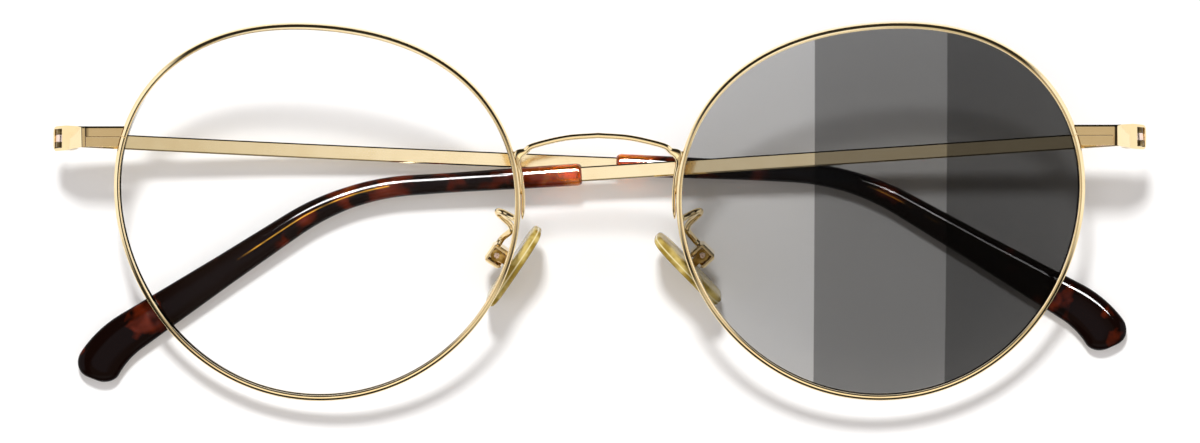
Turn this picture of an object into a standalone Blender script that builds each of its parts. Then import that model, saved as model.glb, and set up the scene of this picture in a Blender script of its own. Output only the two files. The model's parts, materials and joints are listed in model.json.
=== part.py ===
"""Round metal computer glasses, folded and lying on their temples.

The front faces up. +X is the wearer's left, +Y is up as worn, +Z is away from the
table, and the origin is under the middle of the glasses, on the table.
The front is drawn flat in its own frame (across, up as worn, forward) and then
raised along its top edge. Each temple is drawn in the frame of its own hinge.
"""

import math

import bmesh
import bpy
import numpy as np
from mathutils import Euler, Matrix, Vector

MM = 0.001
DEG = math.pi / 180
SIDES = {"right": -1.0, "left": 1.0}

# Lens shape: boxed size, the gap between the lenses, and how far the outline
# swells from a circle (as a share of its radius) and at which angle
LENS_WIDTH = 51.8 * MM
LENS_HEIGHT = 48.75 * MM
BRIDGE_GAP = 20.7 * MM
OVAL_SHARE = 0.0252
OVAL_ANGLE = 9.9 * DEG
CORNER_SHARE = 0.0249
CORNER_ANGLE = 36.1 * DEG
SQUARE_SHARE = -0.0063
LENS_RADIUS = 130.0 * MM
LENS_THICKNESS = 1.5 * MM
LENS_SHOULDER = 0.42 * MM
LENS_BEVEL = 0.38 * MM
WRAP = 3.5 * DEG
ROUND_STEPS = 72
LENS_RINGS = 3

# Eyewire, measured in and out from the boxed lens outline
RIM_OUT = 0.40 * MM
RIM_LIP = 0.35 * MM
RIM_DEPTH = 1.6 * MM
RIM_EDGE = 0.12 * MM
GROOVE_HALF = 0.45 * MM
GROOVE_FLOOR = 0.03 * MM
RIM_SPLIT = 0.12 * MM

# Pieces that are soldered, screwed or glued together keep these gaps
SEAT_GAP = 0.05 * MM
RUNNING_GAP = 0.05 * MM

# How far a cutter runs past what it cuts
CUT_REACH = 1.0 * MM

# Bridge wire
BRIDGE_RISE = 10.1 * MM
BRIDGE_SHOULDER_X = 8.3 * MM
BRIDGE_SHOULDER_Y = 8.8 * MM
BRIDGE_FOOT_TOP = 6.7 * MM
BRIDGE_FOOT_END = -0.6 * MM
BRIDGE_SWELL = 2.0 * MM
BRIDGE_FORWARD = 0.7 * MM
BRIDGE_HEIGHT = 0.78 * MM
BRIDGE_DEPTH = 1.5 * MM
BRIDGE_FOOT_HEIGHT = 0.5 * MM
BRIDGE_CORNER = 0.35 * MM

# End piece: a flat block beside the rim, then a tail that turns back in an arc
STRIP_UP = 9.75 * MM
STRIP_HEIGHT = 2.65 * MM
STRIP_THICKNESS = 1.5 * MM
STRIP_SET_BACK = 0.12 * MM
STRIP_REACH = 3.7 * MM
STRIP_EASE = 0.5 * MM
TWIST_LENGTH = 1.0 * MM
TAIL_LENGTH = 6.5 * MM
TAIL_HEIGHT = 3.2 * MM
TAIL_THICKNESS = 1.0 * MM
TAIL_SLOPE_START = 25.0 * DEG
TAIL_SLOPE_END = 60.0 * DEG
LOCK_END_GAP = 0.5 * MM
SEAM_GAP = 0.06 * MM
RIM_SCREW_FROM_END = 1.6 * MM
RIM_SCREW_REACH = 0.85 * MM

# Hinge: axis behind the tail, knuckles, leaves and screws
HINGE_FROM_END = 1.25 * MM
HINGE_DEPTH = 0.69 * MM
KNUCKLE_RADIUS = 0.85 * MM
KNUCKLE_HALF = 1.2 * MM
TONGUE_HALF = 0.45 * MM
LEAF_THICKNESS = 0.45 * MM
FRONT_LEAF_START = 1.7 * MM
FRONT_LEAF_END = 5.2 * MM
TEMPLE_LEAF_LENGTH = 5.2 * MM
TEMPLE_LEAF_HALF = 0.85 * MM
BUTT_GAP = 0.3 * MM
HINGE_TILT = {"right": 2.4 * DEG, "left": 3.5 * DEG}

# Screws, all of one thread
SCREW_RADIUS = 0.30 * MM
SCREW_CLEARANCE = 0.06 * MM
HEAD_RADIUS = 0.55 * MM
HEAD_HEIGHT = 0.28 * MM
SLOT_WIDTH = 0.14 * MM
SLOT_DEPTH = 0.12 * MM
ROUND_SIDES = 20

# Temple: bar, the core wire that it runs on as, and the sleeve
BAR_START = 0.95 * MM
BAR_HEIGHT = 1.9 * MM
BAR_THICKNESS = 1.15 * MM
BAR_CHAMFER = 0.2 * MM
BAR_OFFSET = 0.905 * MM
BAR_LENGTH = 72.0 * MM
CORE_HEIGHT = 1.2 * MM
CORE_THICKNESS = 0.7 * MM
CORE_TAPER = 9.0 * MM
CORE_SHORT = 6.0 * MM
CORE_CLEARANCE = 0.06 * MM
BEND_POINT = 102.6 * MM
BEND_RADIUS = 32.0 * MM
BEND_ANGLE = {"right": 27.7 * DEG, "left": 29.8 * DEG}
STRAIGHT_TIP = 25.2 * MM
HOOK_RADIUS = 13.0 * MM
HOOK_ANGLE = 35.0 * DEG
BOW = {"right": 8.5 * DEG, "left": 4.4 * DEG}
SLEEVE_THICKNESS = 2.4 * MM
SLEEVE_MOUTH = 2.7 * MM
SLEEVE_NECK = 2.6 * MM
SLEEVE_BEND = 2.85 * MM
SLEEVE_MIDDLE = 4.0 * MM
SLEEVE_END = 5.8 * MM
SLEEVE_CORNER = 0.8 * MM
SLEEVE_LIP = 0.3 * MM
TIP_ROUND = 2.2 * MM
SLEEVE_STEPS = 22

# Nose pads: box and screw place, pad size, and the arm's route from the rim
BOX_INSET = 2.95 * MM
BOX_DOWN = 6.4 * MM
BOX_BACK = 5.6 * MM
BOX_WIDTH = 2.5 * MM
BOX_HEIGHT = 2.7 * MM
BOX_DEPTH = 2.4 * MM
BOX_WALL = 0.45 * MM
PAD_OFFSET = 3.0 * MM
PAD_LENGTH = 11.7 * MM
PAD_WIDTH = 6.8 * MM
PAD_THICKNESS = 1.6 * MM
PAD_BACK_SHARE = 0.72
PAD_CURL = 0.10
PAD_SQUARENESS = 4.0
PAD_ANGLE = {"right": 56.0 * DEG, "left": 46.0 * DEG}
PAD_PLAY = 8.0 * DEG
EYE_RADIUS = 0.8 * MM
EYE_HEIGHT = 1.1 * MM
NECK_WIDTH = 1.0 * MM
PLATE_LENGTH = 5.4 * MM
PLATE_WIDTH = 2.6 * MM
PLATE_THICKNESS = 0.45 * MM
ARM_RADIUS = 0.42 * MM
ARM_FOOT_DOWN = 0.9 * MM
ARM_ROUTE = (
    (0.35, 0.10, -0.55),
    (1.15, 0.45, -1.00),
    (1.95, 0.80, -1.25),
    (2.50, 0.80, -1.75),
    (2.45, 0.35, -2.35),
    (1.80, -0.35, -2.70),
    (1.10, -1.05, -2.90),
    (0.85, -1.95, -3.10),
)

# How the glasses lie: top edge raised, and the left side a little higher
FRONT_PITCH = 15.0 * DEG
FRONT_ROLL = 0.8 * DEG

LENS_CENTRE = (LENS_WIDTH + BRIDGE_GAP) / 2
BOX_ACROSS = BRIDGE_GAP / 2 + BOX_INSET
STRIP_START = LENS_WIDTH / 2 - 2 * RIM_OUT
STRIP_END = LENS_WIDTH / 2 + STRIP_REACH
PAD_BACK = PAD_OFFSET + (PAD_CURL - PAD_BACK_SHARE) * PAD_THICKNESS / 2


def make_collection(name):
    """A new collection in the scene."""
    group = bpy.data.collections.new(name)
    bpy.context.scene.collection.children.link(group)
    return group


def make_material(name, colour, metallic, roughness, transmission=0.0):
    """A Principled material with the given finish."""
    material = bpy.data.materials.new(name)
    material.use_nodes = True
    shader = material.node_tree.nodes["Principled BSDF"]
    shader.inputs["Base Color"].default_value = (*colour, 1.0)
    shader.inputs["Metallic"].default_value = metallic
    shader.inputs["Roughness"].default_value = roughness
    shader.inputs["Transmission Weight"].default_value = transmission
    material.diffuse_color = (*colour, 1.0)
    return material


def add_object(name, mesh, parent, material=None):
    """A mesh object under a parent empty, in the collection of parts."""
    item = bpy.data.objects.new(name, mesh)
    PARTS.objects.link(item)
    item.parent = parent
    if material is not None:
        mesh.materials.append(material)
    return item


def finish_mesh(name, work, sharp=35 * DEG):
    """Turn a bmesh into a mesh with outward faces and smooth round sides."""
    bmesh.ops.recalc_face_normals(work, faces=work.faces)
    mesh = bpy.data.meshes.new(name)
    work.to_mesh(mesh)
    work.free()
    mesh.shade_smooth()
    mesh.set_sharp_from_angle(angle=sharp)
    return mesh


def loft(name, sections):
    """Skin a list of closed sections, each with the same count of points."""
    rings = np.asarray(sections, dtype=float)
    count, points = rings.shape[:2]
    work = bmesh.new()
    corners = [[work.verts.new(p) for p in ring] for ring in rings]
    for near, far in zip(corners, corners[1:]):
        for i in range(points):
            j = (i + 1) % points
            work.faces.new((near[i], near[j], far[j], far[i]))
    work.faces.new(corners[0])
    work.faces.new(corners[count - 1])
    return finish_mesh(name, work)


def rounded_section(height, thickness, corner, steps):
    """Points (up, inward) round a rectangle whose corners are arcs of so many steps."""
    corner = min(corner, 0.49 * height, 0.49 * thickness)
    points = []
    for k, (a, b) in enumerate(((1, 1), (-1, 1), (-1, -1), (1, -1))):
        centre = np.array((a * (height / 2 - corner), b * (thickness / 2 - corner)))
        for i in range(steps + 1):
            turn = (k + i / steps) * math.pi / 2
            points.append(centre + corner * np.array((math.cos(turn), math.sin(turn))))
    return np.array(points)


def ellipse_section(height, depth, count=12):
    """Points (up, inward) round an ellipse."""
    turn = np.linspace(0, 2 * math.pi, count, endpoint=False)
    return np.stack((np.cos(turn) * height / 2, np.sin(turn) * depth / 2), axis=1)


def cylinder(name, radius, low, high, parent, axis="Y", centre=(0.0, 0.0, 0.0)):
    """A cylinder about an axis of its parent, from one height to another."""
    work = bmesh.new()
    bmesh.ops.create_cone(
        work, cap_ends=True, segments=ROUND_SIDES, radius1=radius, radius2=radius, depth=high - low
    )
    bmesh.ops.translate(work, verts=work.verts, vec=(0, 0, (low + high) / 2))
    if axis == "Y":
        bmesh.ops.rotate(work, verts=work.verts, matrix=Matrix.Rotation(-math.pi / 2, 3, "X"))
    bmesh.ops.translate(work, verts=work.verts, vec=centre)
    return add_object(name, finish_mesh(name, work), parent)


def box(name, low, high, parent):
    """A box between two corners in its parent's frame."""
    low, high = Vector(low), Vector(high)
    work = bmesh.new()
    bmesh.ops.create_cube(work, size=1.0)
    size = [abs(h - l) for l, h in zip(low, high)]
    bmesh.ops.scale(work, verts=work.verts, vec=size)
    bmesh.ops.translate(work, verts=work.verts, vec=(low + high) / 2)
    return add_object(name, finish_mesh(name, work), parent)


def combine(target, tool, operation):
    """Add or cut with a helper object, which isn't a part itself."""
    modifier = target.modifiers.new(tool.name, "BOOLEAN")
    modifier.operation = operation
    modifier.object = tool
    modifier.solver = "EXACT"
    if tool.name in PARTS.objects:
        PARTS.objects.unlink(tool)
        CUTTERS.objects.link(tool)
    tool.hide_render = True
    tool.display_type = "WIRE"


def bevel_edges(item, width, angle=40 * DEG):
    """A one-step chamfer along the sharp edges."""
    modifier = item.modifiers.new("edges", "BEVEL")
    modifier.width = width
    modifier.segments = 1
    modifier.limit_method = "ANGLE"
    modifier.angle_limit = angle


def outline_shape(angle):
    """Radius of the lens shape before it is fitted to its box; 0 is at the temple."""
    oval = OVAL_SHARE * np.cos(2 * (angle - OVAL_ANGLE))
    corner = CORNER_SHARE * np.cos(3 * (angle - CORNER_ANGLE))
    square = SQUARE_SHARE * np.cos(4 * angle)
    return 1 + oval + corner + square


def outline(angle, offset=0.0):
    """Points (outward, up) about the lens centre at some angles of the shape.

    The shape is stretched to the boxed width and height, and the offset is added
    along the line from the middle."""
    every = np.linspace(0, 2 * math.pi, 720, endpoint=False)
    shape = outline_shape(every)
    flat = np.stack((shape * np.cos(every), shape * np.sin(every)), axis=1)
    middle = (flat.max(axis=0) + flat.min(axis=0)) / 2
    scale = np.array((LENS_WIDTH, LENS_HEIGHT)) / np.ptp(flat, axis=0)
    angle = np.atleast_1d(angle)
    radius = outline_shape(angle)
    points = np.stack((radius * np.cos(angle), radius * np.sin(angle)), axis=1)
    points = (points - middle) * scale
    length = np.linalg.norm(points, axis=1, keepdims=True)
    return points * (1 + offset / length)


def angle_at_height(height, temple_side=True):
    """The shape's angle where the outline passes a height, on one side of the lens."""
    quarter = np.linspace(-math.pi / 2, math.pi / 2, 2001)
    angle = quarter if temple_side else math.pi - quarter
    return float(np.interp(height, outline(angle)[:, 1], angle))


def lens_face(outward, up):
    """How far forward the middle surface of a lens lies: a ball, turned by the wrap."""
    bulge = LENS_RADIUS - np.sqrt(LENS_RADIUS**2 - outward**2 - up**2)
    return -bulge - math.tan(WRAP) * outward


def on_front(side, points, forward):
    """Points about a lens centre, put in the frame of the whole front."""
    points = np.asarray(points)
    across = SIDES[side] * (LENS_CENTRE + points[:, 0])
    return np.stack((across, points[:, 1], lens_face(points[:, 0], points[:, 1]) + forward), axis=1)


def make_rim(side, front, material):
    """Grooved eyewire, an open ring that is split at the seam of the end piece."""
    half = RIM_DEPTH / 2
    profile = (
        (-RIM_LIP, half),
        (RIM_OUT - RIM_EDGE, half),
        (RIM_OUT, half - RIM_EDGE),
        (RIM_OUT, RIM_EDGE - half),
        (RIM_OUT - RIM_EDGE, -half),
        (-RIM_LIP, -half),
        (-RIM_LIP, -GROOVE_HALF),
        (GROOVE_FLOOR, 0.0),
        (-RIM_LIP, GROOVE_HALF),
    )
    seam = angle_at_height(STRIP_UP)
    trim = RIM_SPLIT / LENS_WIDTH
    angle = np.linspace(seam + trim, seam + 2 * math.pi - trim, ROUND_STEPS + 1)
    lines = [on_front(side, outline(angle, out), forward) for out, forward in profile]
    name = f"rim_{side}"
    mesh = loft(name, np.stack(lines, axis=1))
    return add_object(name, mesh, front, material)


def make_lens(side, front, material):
    """Plano lens with a bevelled edge that sits in the rim's groove."""
    half = LENS_THICKNESS / 2
    angle = np.linspace(0, 2 * math.pi, ROUND_STEPS, endpoint=False)
    shoulder = outline(angle, -LENS_SHOULDER)
    tip = outline(angle, -GROOVE_FLOOR)
    shares = np.arange(1, LENS_RINGS) / LENS_RINGS
    rings = [on_front(side, shoulder * share, half) for share in shares]
    rings += [on_front(side, shoulder, half), on_front(side, shoulder, LENS_BEVEL)]
    rings += [on_front(side, tip, 0.0)]
    rings += [on_front(side, shoulder, -LENS_BEVEL), on_front(side, shoulder, -half)]
    rings += [on_front(side, shoulder * share, -half) for share in shares[::-1]]
    work = bmesh.new()
    corners = [[work.verts.new(p) for p in ring] for ring in rings]
    for near, far in zip(corners, corners[1:]):
        for i in range(ROUND_STEPS):
            j = (i + 1) % ROUND_STEPS
            work.faces.new((near[i], near[j], far[j], far[i]))
    for ring, forward in ((corners[0], half), (corners[-1], -half)):
        pole = work.verts.new(on_front(side, np.zeros((1, 2)), forward)[0])
        for i in range(ROUND_STEPS):
            work.faces.new((ring[i], ring[(i + 1) % ROUND_STEPS], pole))
    name = f"lens_{side}"
    return add_object(name, finish_mesh(name, work), front, material)


def smooth_route(points, steps):
    """Points of a Catmull-Rom curve through the given points, with steps for each span."""
    points = np.asarray(points, dtype=float)
    ends = np.vstack((2 * points[0] - points[1], points, 2 * points[-1] - points[-2]))
    share = np.linspace(0, 1, steps, endpoint=False)[:, None]
    pieces = []
    for a, b, c, d in zip(ends, ends[1:], ends[2:], ends[3:]):
        pieces.append(
            0.5 * (2 * b + (c - a) * share + (2 * a - 5 * b + 4 * c - d) * share**2
                   + (3 * b - a - 3 * c + d) * share**3)
        )
    pieces.append(points[-1:])
    return np.vstack(pieces)


def make_bridge(front, material):
    """Arched wire with a tapered foot along the nose side of each rim."""
    seat = RIM_OUT + SEAT_GAP + BRIDGE_FOOT_HEIGHT / 2
    foot = []
    for height in np.linspace(BRIDGE_FOOT_END, BRIDGE_FOOT_TOP, 4):
        point = on_front("right", outline(angle_at_height(height, False), seat), 0.0)[0]
        foot.append(point)
    base = foot[-1][2]
    shoulder = np.array((-BRIDGE_SHOULDER_X, BRIDGE_SHOULDER_Y, base + 0.6 * BRIDGE_FORWARD))
    corner = (foot[-1] + shoulder) / 2 + np.array((-BRIDGE_CORNER, BRIDGE_CORNER, 0.0))
    crown = np.array((0.0, BRIDGE_RISE, base + BRIDGE_FORWARD))
    rest = crown - shoulder
    quarter = shoulder + rest * np.array((0.5, 0.75, 0.75))
    half = smooth_route(foot + [corner, shoulder, quarter, crown], 4)
    path = np.vstack((half, half[-2::-1] * np.array((-1.0, 1.0, 1.0))))
    step = np.linalg.norm(np.diff(path, axis=0), axis=1)
    run = np.concatenate(((0.0,), np.cumsum(step)))
    from_end = np.minimum(run, run[-1] - run)
    past_foot = from_end - (BRIDGE_FOOT_TOP - BRIDGE_FOOT_END)
    grown = np.clip(past_foot / BRIDGE_SWELL + 0.4, 0, 1)
    sections = []
    tangents = np.gradient(path, axis=0)
    for point, tangent, share in zip(path, tangents, grown):
        forward = np.array((0.0, 0.0, 1.0))
        tangent = tangent / np.linalg.norm(tangent)
        normal = np.cross(forward, tangent)
        normal /= np.linalg.norm(normal)
        deep = np.cross(tangent, normal)
        height = BRIDGE_FOOT_HEIGHT + (BRIDGE_HEIGHT - BRIDGE_FOOT_HEIGHT) * share
        depth = BRIDGE_DEPTH * (0.75 + 0.25 * share)
        flat = ellipse_section(height, depth)
        sections.append(point + flat[:, :1] * normal + flat[:, 1:] * deep)
    return add_object("bridge", loft("bridge", sections), front, material)


def tail_path(share):
    """Place (outward, back) and slope of the tail's outer face at a share of its length."""
    turn = TAIL_SLOPE_END - TAIL_SLOPE_START
    slope = TAIL_SLOPE_START + turn * share
    radius = TAIL_LENGTH / turn
    outward = STRIP_END + radius * (np.sin(slope) - math.sin(TAIL_SLOPE_START))
    back = radius * (math.cos(TAIL_SLOPE_START) - np.cos(slope))
    return outward, back, slope


def world_directions(front_turn):
    """World up-as-worn and world down, seen in the front's own frame."""
    inverse = front_turn.to_matrix().inverted()
    return inverse @ Vector((0, 1, 0)), inverse @ Vector((0, 0, -1))


def strip_top(side):
    """Forward place of the end piece's outer face, just behind the rim's front face."""
    seat = outline(angle_at_height(STRIP_UP), RIM_OUT)
    return float(on_front(side, seat, RIM_DEPTH / 2 - STRIP_SET_BACK)[0][2])


def end_piece_sections(side, front_turn, stations, inner, outer):
    """Sections of the bent strip; each station is a length past the strip's corner.

    Lengths below 0 lie on the flat block. Inner and outer are depths under the outer
    face, as a share of 0 to 1 of the thickness there plus a fixed distance."""
    up_tail, back_tail = world_directions(front_turn)
    top = strip_top(side)
    sections = []
    for length, height, thickness in stations:
        share = max(length, 0.0) / TAIL_LENGTH
        outward, back, slope = tail_path(share)
        outward += min(length, 0.0)
        turned = min(max(length / TWIST_LENGTH, 0.0), 1.0)
        slope *= turned
        up = (Vector((0, 1, 0)) * (1 - turned) + up_tail * turned).normalized()
        behind = (Vector((0, 0, -1)) * (1 - turned) + back_tail * turned).normalized()
        across = Vector((SIDES[side], 0, 0))
        under = behind * math.cos(slope) - across * math.sin(slope)
        place = across * (LENS_CENTRE + outward) + Vector((0, STRIP_UP, top)) + back_tail * back
        near = place + under * (inner[0] * thickness + inner[1])
        far = place + under * (outer[0] * thickness + outer[1])
        half = up * (height / 2)
        sections.append([near - half, near + half, far + half, far - half])
    return sections


def hinge_place(side, front_turn):
    """Hinge centre in the front's frame: near the tail's end, just under its outer face."""
    _, back_tail = world_directions(front_turn)
    outward, back, slope = tail_path(1 - HINGE_FROM_END / TAIL_LENGTH)
    outward -= HINGE_DEPTH * math.sin(slope)
    back += HINGE_DEPTH * math.cos(slope)
    across = SIDES[side] * (LENS_CENTRE + outward)
    return Vector((across, STRIP_UP, strip_top(side))) + back_tail * back


def block_between(name, side, front, inner, outer, low, high, top, bottom):
    """A box beside a lens: from one outward distance to another, in the front's frame."""
    across = sorted(SIDES[side] * (LENS_CENTRE + value) for value in (inner, outer))
    return box(name, (across[0], low, bottom), (across[1], high, top), front)


def rim_prism(side, front):
    """Cutter with the rim's outer outline, a little larger than the rim."""
    angle = np.linspace(0, 2 * math.pi, ROUND_STEPS, endpoint=False)
    edge = outline(angle, RIM_OUT + SEAT_GAP)
    reach = 6 * RIM_DEPTH
    rings = []
    for forward in (-reach, reach):
        ring = on_front(side, edge, 0.0)
        ring[:, 2] = forward
        rings.append(ring)
    name = f"rim_cutter_{side}"
    return add_object(name, loft(name, rings), front)


def make_end_piece(side, front, axis, front_turn, gold):
    """Upper block and tail, with the slot over the hinge; and the lower block."""
    flat = STRIP_END - STRIP_START
    stations = [
        (-flat, STRIP_HEIGHT, STRIP_THICKNESS),
        (-STRIP_EASE, STRIP_HEIGHT, STRIP_THICKNESS),
        (-STRIP_EASE / 4, STRIP_HEIGHT, STRIP_THICKNESS * 0.95),
    ]
    for share in (0.03, 0.09, 0.16, 0.26, 0.38, 0.5, 0.62, 0.74, 0.87, 1.0):
        grown = min(share / 0.5, 1.0)
        height = STRIP_HEIGHT + (TAIL_HEIGHT - STRIP_HEIGHT) * grown
        thin = min(share / 0.16, 1.0)
        thickness = STRIP_THICKNESS + (TAIL_THICKNESS - STRIP_THICKNESS) * thin
        stations.append((share * TAIL_LENGTH, height, thickness))
    name = f"end_piece_{side}"
    sections = end_piece_sections(side, front_turn, stations, (0, 0), (1, 0))
    piece = add_object(name, loft(name, sections), front, gold)
    prism = rim_prism(side, front)
    combine(piece, prism, "DIFFERENCE")

    top = strip_top(side)
    lock_end = STRIP_END - LOCK_END_GAP
    lower = STRIP_UP - STRIP_HEIGHT
    room = block_between(
        f"lock_room_{side}", side, front, STRIP_START, lock_end + SEAM_GAP,
        lower, STRIP_UP + SEAM_GAP / 2, top + CUT_REACH, top - 2 * STRIP_THICKNESS,
    )
    combine(piece, room, "DIFFERENCE")
    lock = block_between(
        f"rim_lock_{side}", side, front, STRIP_START, lock_end,
        STRIP_UP - STRIP_HEIGHT / 2, STRIP_UP - SEAM_GAP / 2, top, top - STRIP_THICKNESS,
    )
    lock.data.materials.append(gold)
    combine(lock, prism, "DIFFERENCE")

    across = SIDES[side] * (LENS_CENTRE + STRIP_END - RIM_SCREW_FROM_END)
    centre = (across, 0.0, top - STRIP_THICKNESS / 2)
    base = STRIP_UP - STRIP_HEIGHT / 2
    bore = cylinder(
        f"rim_screw_bore_{side}", SCREW_RADIUS + SCREW_CLEARANCE, base - CUT_REACH,
        STRIP_UP + RIM_SCREW_REACH + SEAT_GAP, front, "Y", centre,
    )
    sink = cylinder(
        f"rim_screw_sink_{side}", HEAD_RADIUS + SCREW_CLEARANCE, base - CUT_REACH,
        base + HEAD_HEIGHT + SEAT_GAP, front, "Y", centre,
    )
    combine(piece, bore, "DIFFERENCE")
    combine(lock, bore, "DIFFERENCE")
    combine(lock, sink, "DIFFERENCE")
    make_screw(
        f"rim_screw_{side}", front, centre, base, STRIP_UP + RIM_SCREW_REACH, False, "Y", gold
    )

    half = KNUCKLE_RADIUS + RUNNING_GAP
    tall = KNUCKLE_HALF + RUNNING_GAP
    slot = box(f"hinge_slot_{side}", (-half, -tall, -4 * half), (half, tall, 6 * half), axis)
    combine(piece, slot, "DIFFERENCE")
    butt = BUTT_GAP - BAR_START
    trim = box(
        f"butt_trim_{side}", (-4 * half, -3 * tall, -8 * half), (4 * half, 3 * tall, butt), axis
    )
    combine(piece, trim, "DIFFERENCE")
    return piece


def make_screw(name, parent, centre, low, high, head_high, axis, material):
    """Cheese-head screw along an axis, with its head at the high or the low end."""
    centre = Vector(centre)
    if head_high:
        head_low, head_top = high - HEAD_HEIGHT, high
        slot_low, slot_top = high - SLOT_DEPTH, high + SLOT_DEPTH
    else:
        head_low, head_top = low, low + HEAD_HEIGHT
        slot_low, slot_top = low - SLOT_DEPTH, low + SLOT_DEPTH
    screw = cylinder(name, SCREW_RADIUS, low, high, parent, axis, centre)
    screw.data.materials.append(material)
    head = cylinder(name + "_head", HEAD_RADIUS, head_low, head_top, parent, axis, centre)
    combine(screw, head, "UNION")
    reach = 2 * HEAD_RADIUS
    if axis == "Y":
        near = centre + Vector((-reach, slot_low, -SLOT_WIDTH / 2))
        far = centre + Vector((reach, slot_top, SLOT_WIDTH / 2))
    else:
        near = centre + Vector((-reach, -SLOT_WIDTH / 2, slot_low))
        far = centre + Vector((reach, SLOT_WIDTH / 2, slot_top))
    slot = box(name + "_slot", near, far, parent)
    combine(screw, slot, "DIFFERENCE")
    return screw


def make_hinge(side, front, axis, pivot, front_turn, gold, steel):
    """Front leaf with two knuckles, temple leaf with one, and the screw between them."""
    direction = -SIDES[side]
    bore_radius = SCREW_RADIUS + SCREW_CLEARANCE
    name = f"front_hinge_{side}"
    leaf_height = 2 * KNUCKLE_HALF
    lengths = np.linspace(FRONT_LEAF_START, FRONT_LEAF_END, 5)
    stations = [(length, leaf_height, TAIL_THICKNESS) for length in lengths]
    sections = end_piece_sections(
        side, front_turn, stations, (1, SEAT_GAP), (1, SEAT_GAP + LEAF_THICKNESS)
    )
    piece = add_object(name, loft(name, sections), front, gold)
    barrel = cylinder(name + "_barrel", KNUCKLE_RADIUS, -KNUCKLE_HALF, KNUCKLE_HALF, axis)
    combine(piece, barrel, "UNION")
    gap = cylinder(
        name + "_gap", KNUCKLE_RADIUS + 4 * RUNNING_GAP,
        -TONGUE_HALF - RUNNING_GAP, TONGUE_HALF + RUNNING_GAP, axis,
    )
    combine(piece, gap, "DIFFERENCE")
    bore = cylinder(name + "_bore", bore_radius, -2 * KNUCKLE_HALF, 2 * KNUCKLE_HALF, axis)
    combine(piece, bore, "DIFFERENCE")
    sink = cylinder(
        name + "_sink", HEAD_RADIUS + SCREW_CLEARANCE,
        KNUCKLE_HALF - HEAD_HEIGHT - SEAT_GAP, 2 * KNUCKLE_HALF, axis,
    )
    combine(piece, sink, "DIFFERENCE")
    make_screw(
        f"hinge_screw_{side}", axis, (0, 0, 0), -KNUCKLE_HALF, KNUCKLE_HALF, True, "Y", steel
    )

    name = f"temple_hinge_{side}"
    knuckle = cylinder(name, KNUCKLE_RADIUS, -TONGUE_HALF, TONGUE_HALF, pivot)
    knuckle.data.materials.append(gold)
    bow_rise = TEMPLE_LEAF_LENGTH**2 * BOW[side] / (2 * BAR_LENGTH)
    leaf_low = BAR_THICKNESS / 2 - BAR_OFFSET + bow_rise + SEAT_GAP
    leaf_high = leaf_low + LEAF_THICKNESS
    step = LEAF_THICKNESS / 8
    clear = KNUCKLE_RADIUS + 3 * RUNNING_GAP
    tongue = box(
        name + "_tongue", (0, -TONGUE_HALF + step, leaf_low + step),
        (direction * (clear + TONGUE_HALF), TONGUE_HALF - step, leaf_high - step), pivot,
    )
    leaf = box(
        name + "_leaf", (direction * clear, -TEMPLE_LEAF_HALF, leaf_low),
        (direction * TEMPLE_LEAF_LENGTH, TEMPLE_LEAF_HALF, leaf_high), pivot,
    )
    combine(knuckle, tongue, "UNION")
    combine(knuckle, leaf, "UNION")
    pin_bore = cylinder(
        name + "_bore", bore_radius, -2 * TONGUE_HALF, 2 * TONGUE_HALF, pivot
    )
    combine(knuckle, pin_bore, "DIFFERENCE")


def temple_path(side):
    """Points along a temple from its hinge, with the directions along, up and inward.

    The bar bows inward at an even rate as far as the sleeve. Then the sleeve runs
    straight, bends down over the ear, runs straight and hooks down at its end."""
    bend = BEND_ANGLE[side]
    bend_start = BEND_POINT - BEND_RADIUS * math.tan(bend / 2)
    bend_end = bend_start + BEND_RADIUS * bend
    hook_start = bend_end + STRAIGHT_TIP
    total = hook_start + HOOK_RADIUS * HOOK_ANGLE
    run = np.linspace(0, total, 1401)
    bow = BOW[side] * np.clip(run / BAR_LENGTH, 0, 1)
    drop = bend * np.clip((run - bend_start) / (bend_end - bend_start), 0, 1)
    drop = drop + HOOK_ANGLE * np.clip((run - hook_start) / (total - hook_start), 0, 1)
    ahead = np.stack((np.cos(bow), np.zeros_like(bow), np.sin(bow)), axis=1)
    upward = np.array((0.0, 1.0, 0.0))
    along = ahead * np.cos(drop)[:, None] - upward * np.sin(drop)[:, None]
    up = ahead * np.sin(drop)[:, None] + upward * np.cos(drop)[:, None]
    inward = np.stack((-np.sin(bow), np.zeros_like(bow), np.cos(bow)), axis=1)
    middle = (along[1:] + along[:-1]) / 2 * (run[1] - run[0])
    place = np.vstack(((0.0, 0.0, 0.0), np.cumsum(middle, axis=0)))
    place[:, 2] -= BAR_OFFSET
    return run, place, up, inward


def sections_along(side, lengths, flats):
    """Put flat sections (up, inward) on a temple's path at the given lengths."""
    run, place, up, inward = temple_path(side)
    direction = -SIDES[side]
    sections = []
    for length, flat in zip(lengths, flats):
        here, rise, inner = (
            np.array([np.interp(length, run, values[:, k]) for k in range(3)])
            for values in (place, up, inward)
        )
        ring = here + flat[:, :1] * rise + flat[:, 1:] * inner
        ring[:, 0] *= direction
        sections.append(ring)
    return sections


def path_length(side):
    """Whole length of a temple's middle line."""
    return float(temple_path(side)[0][-1])


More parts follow.
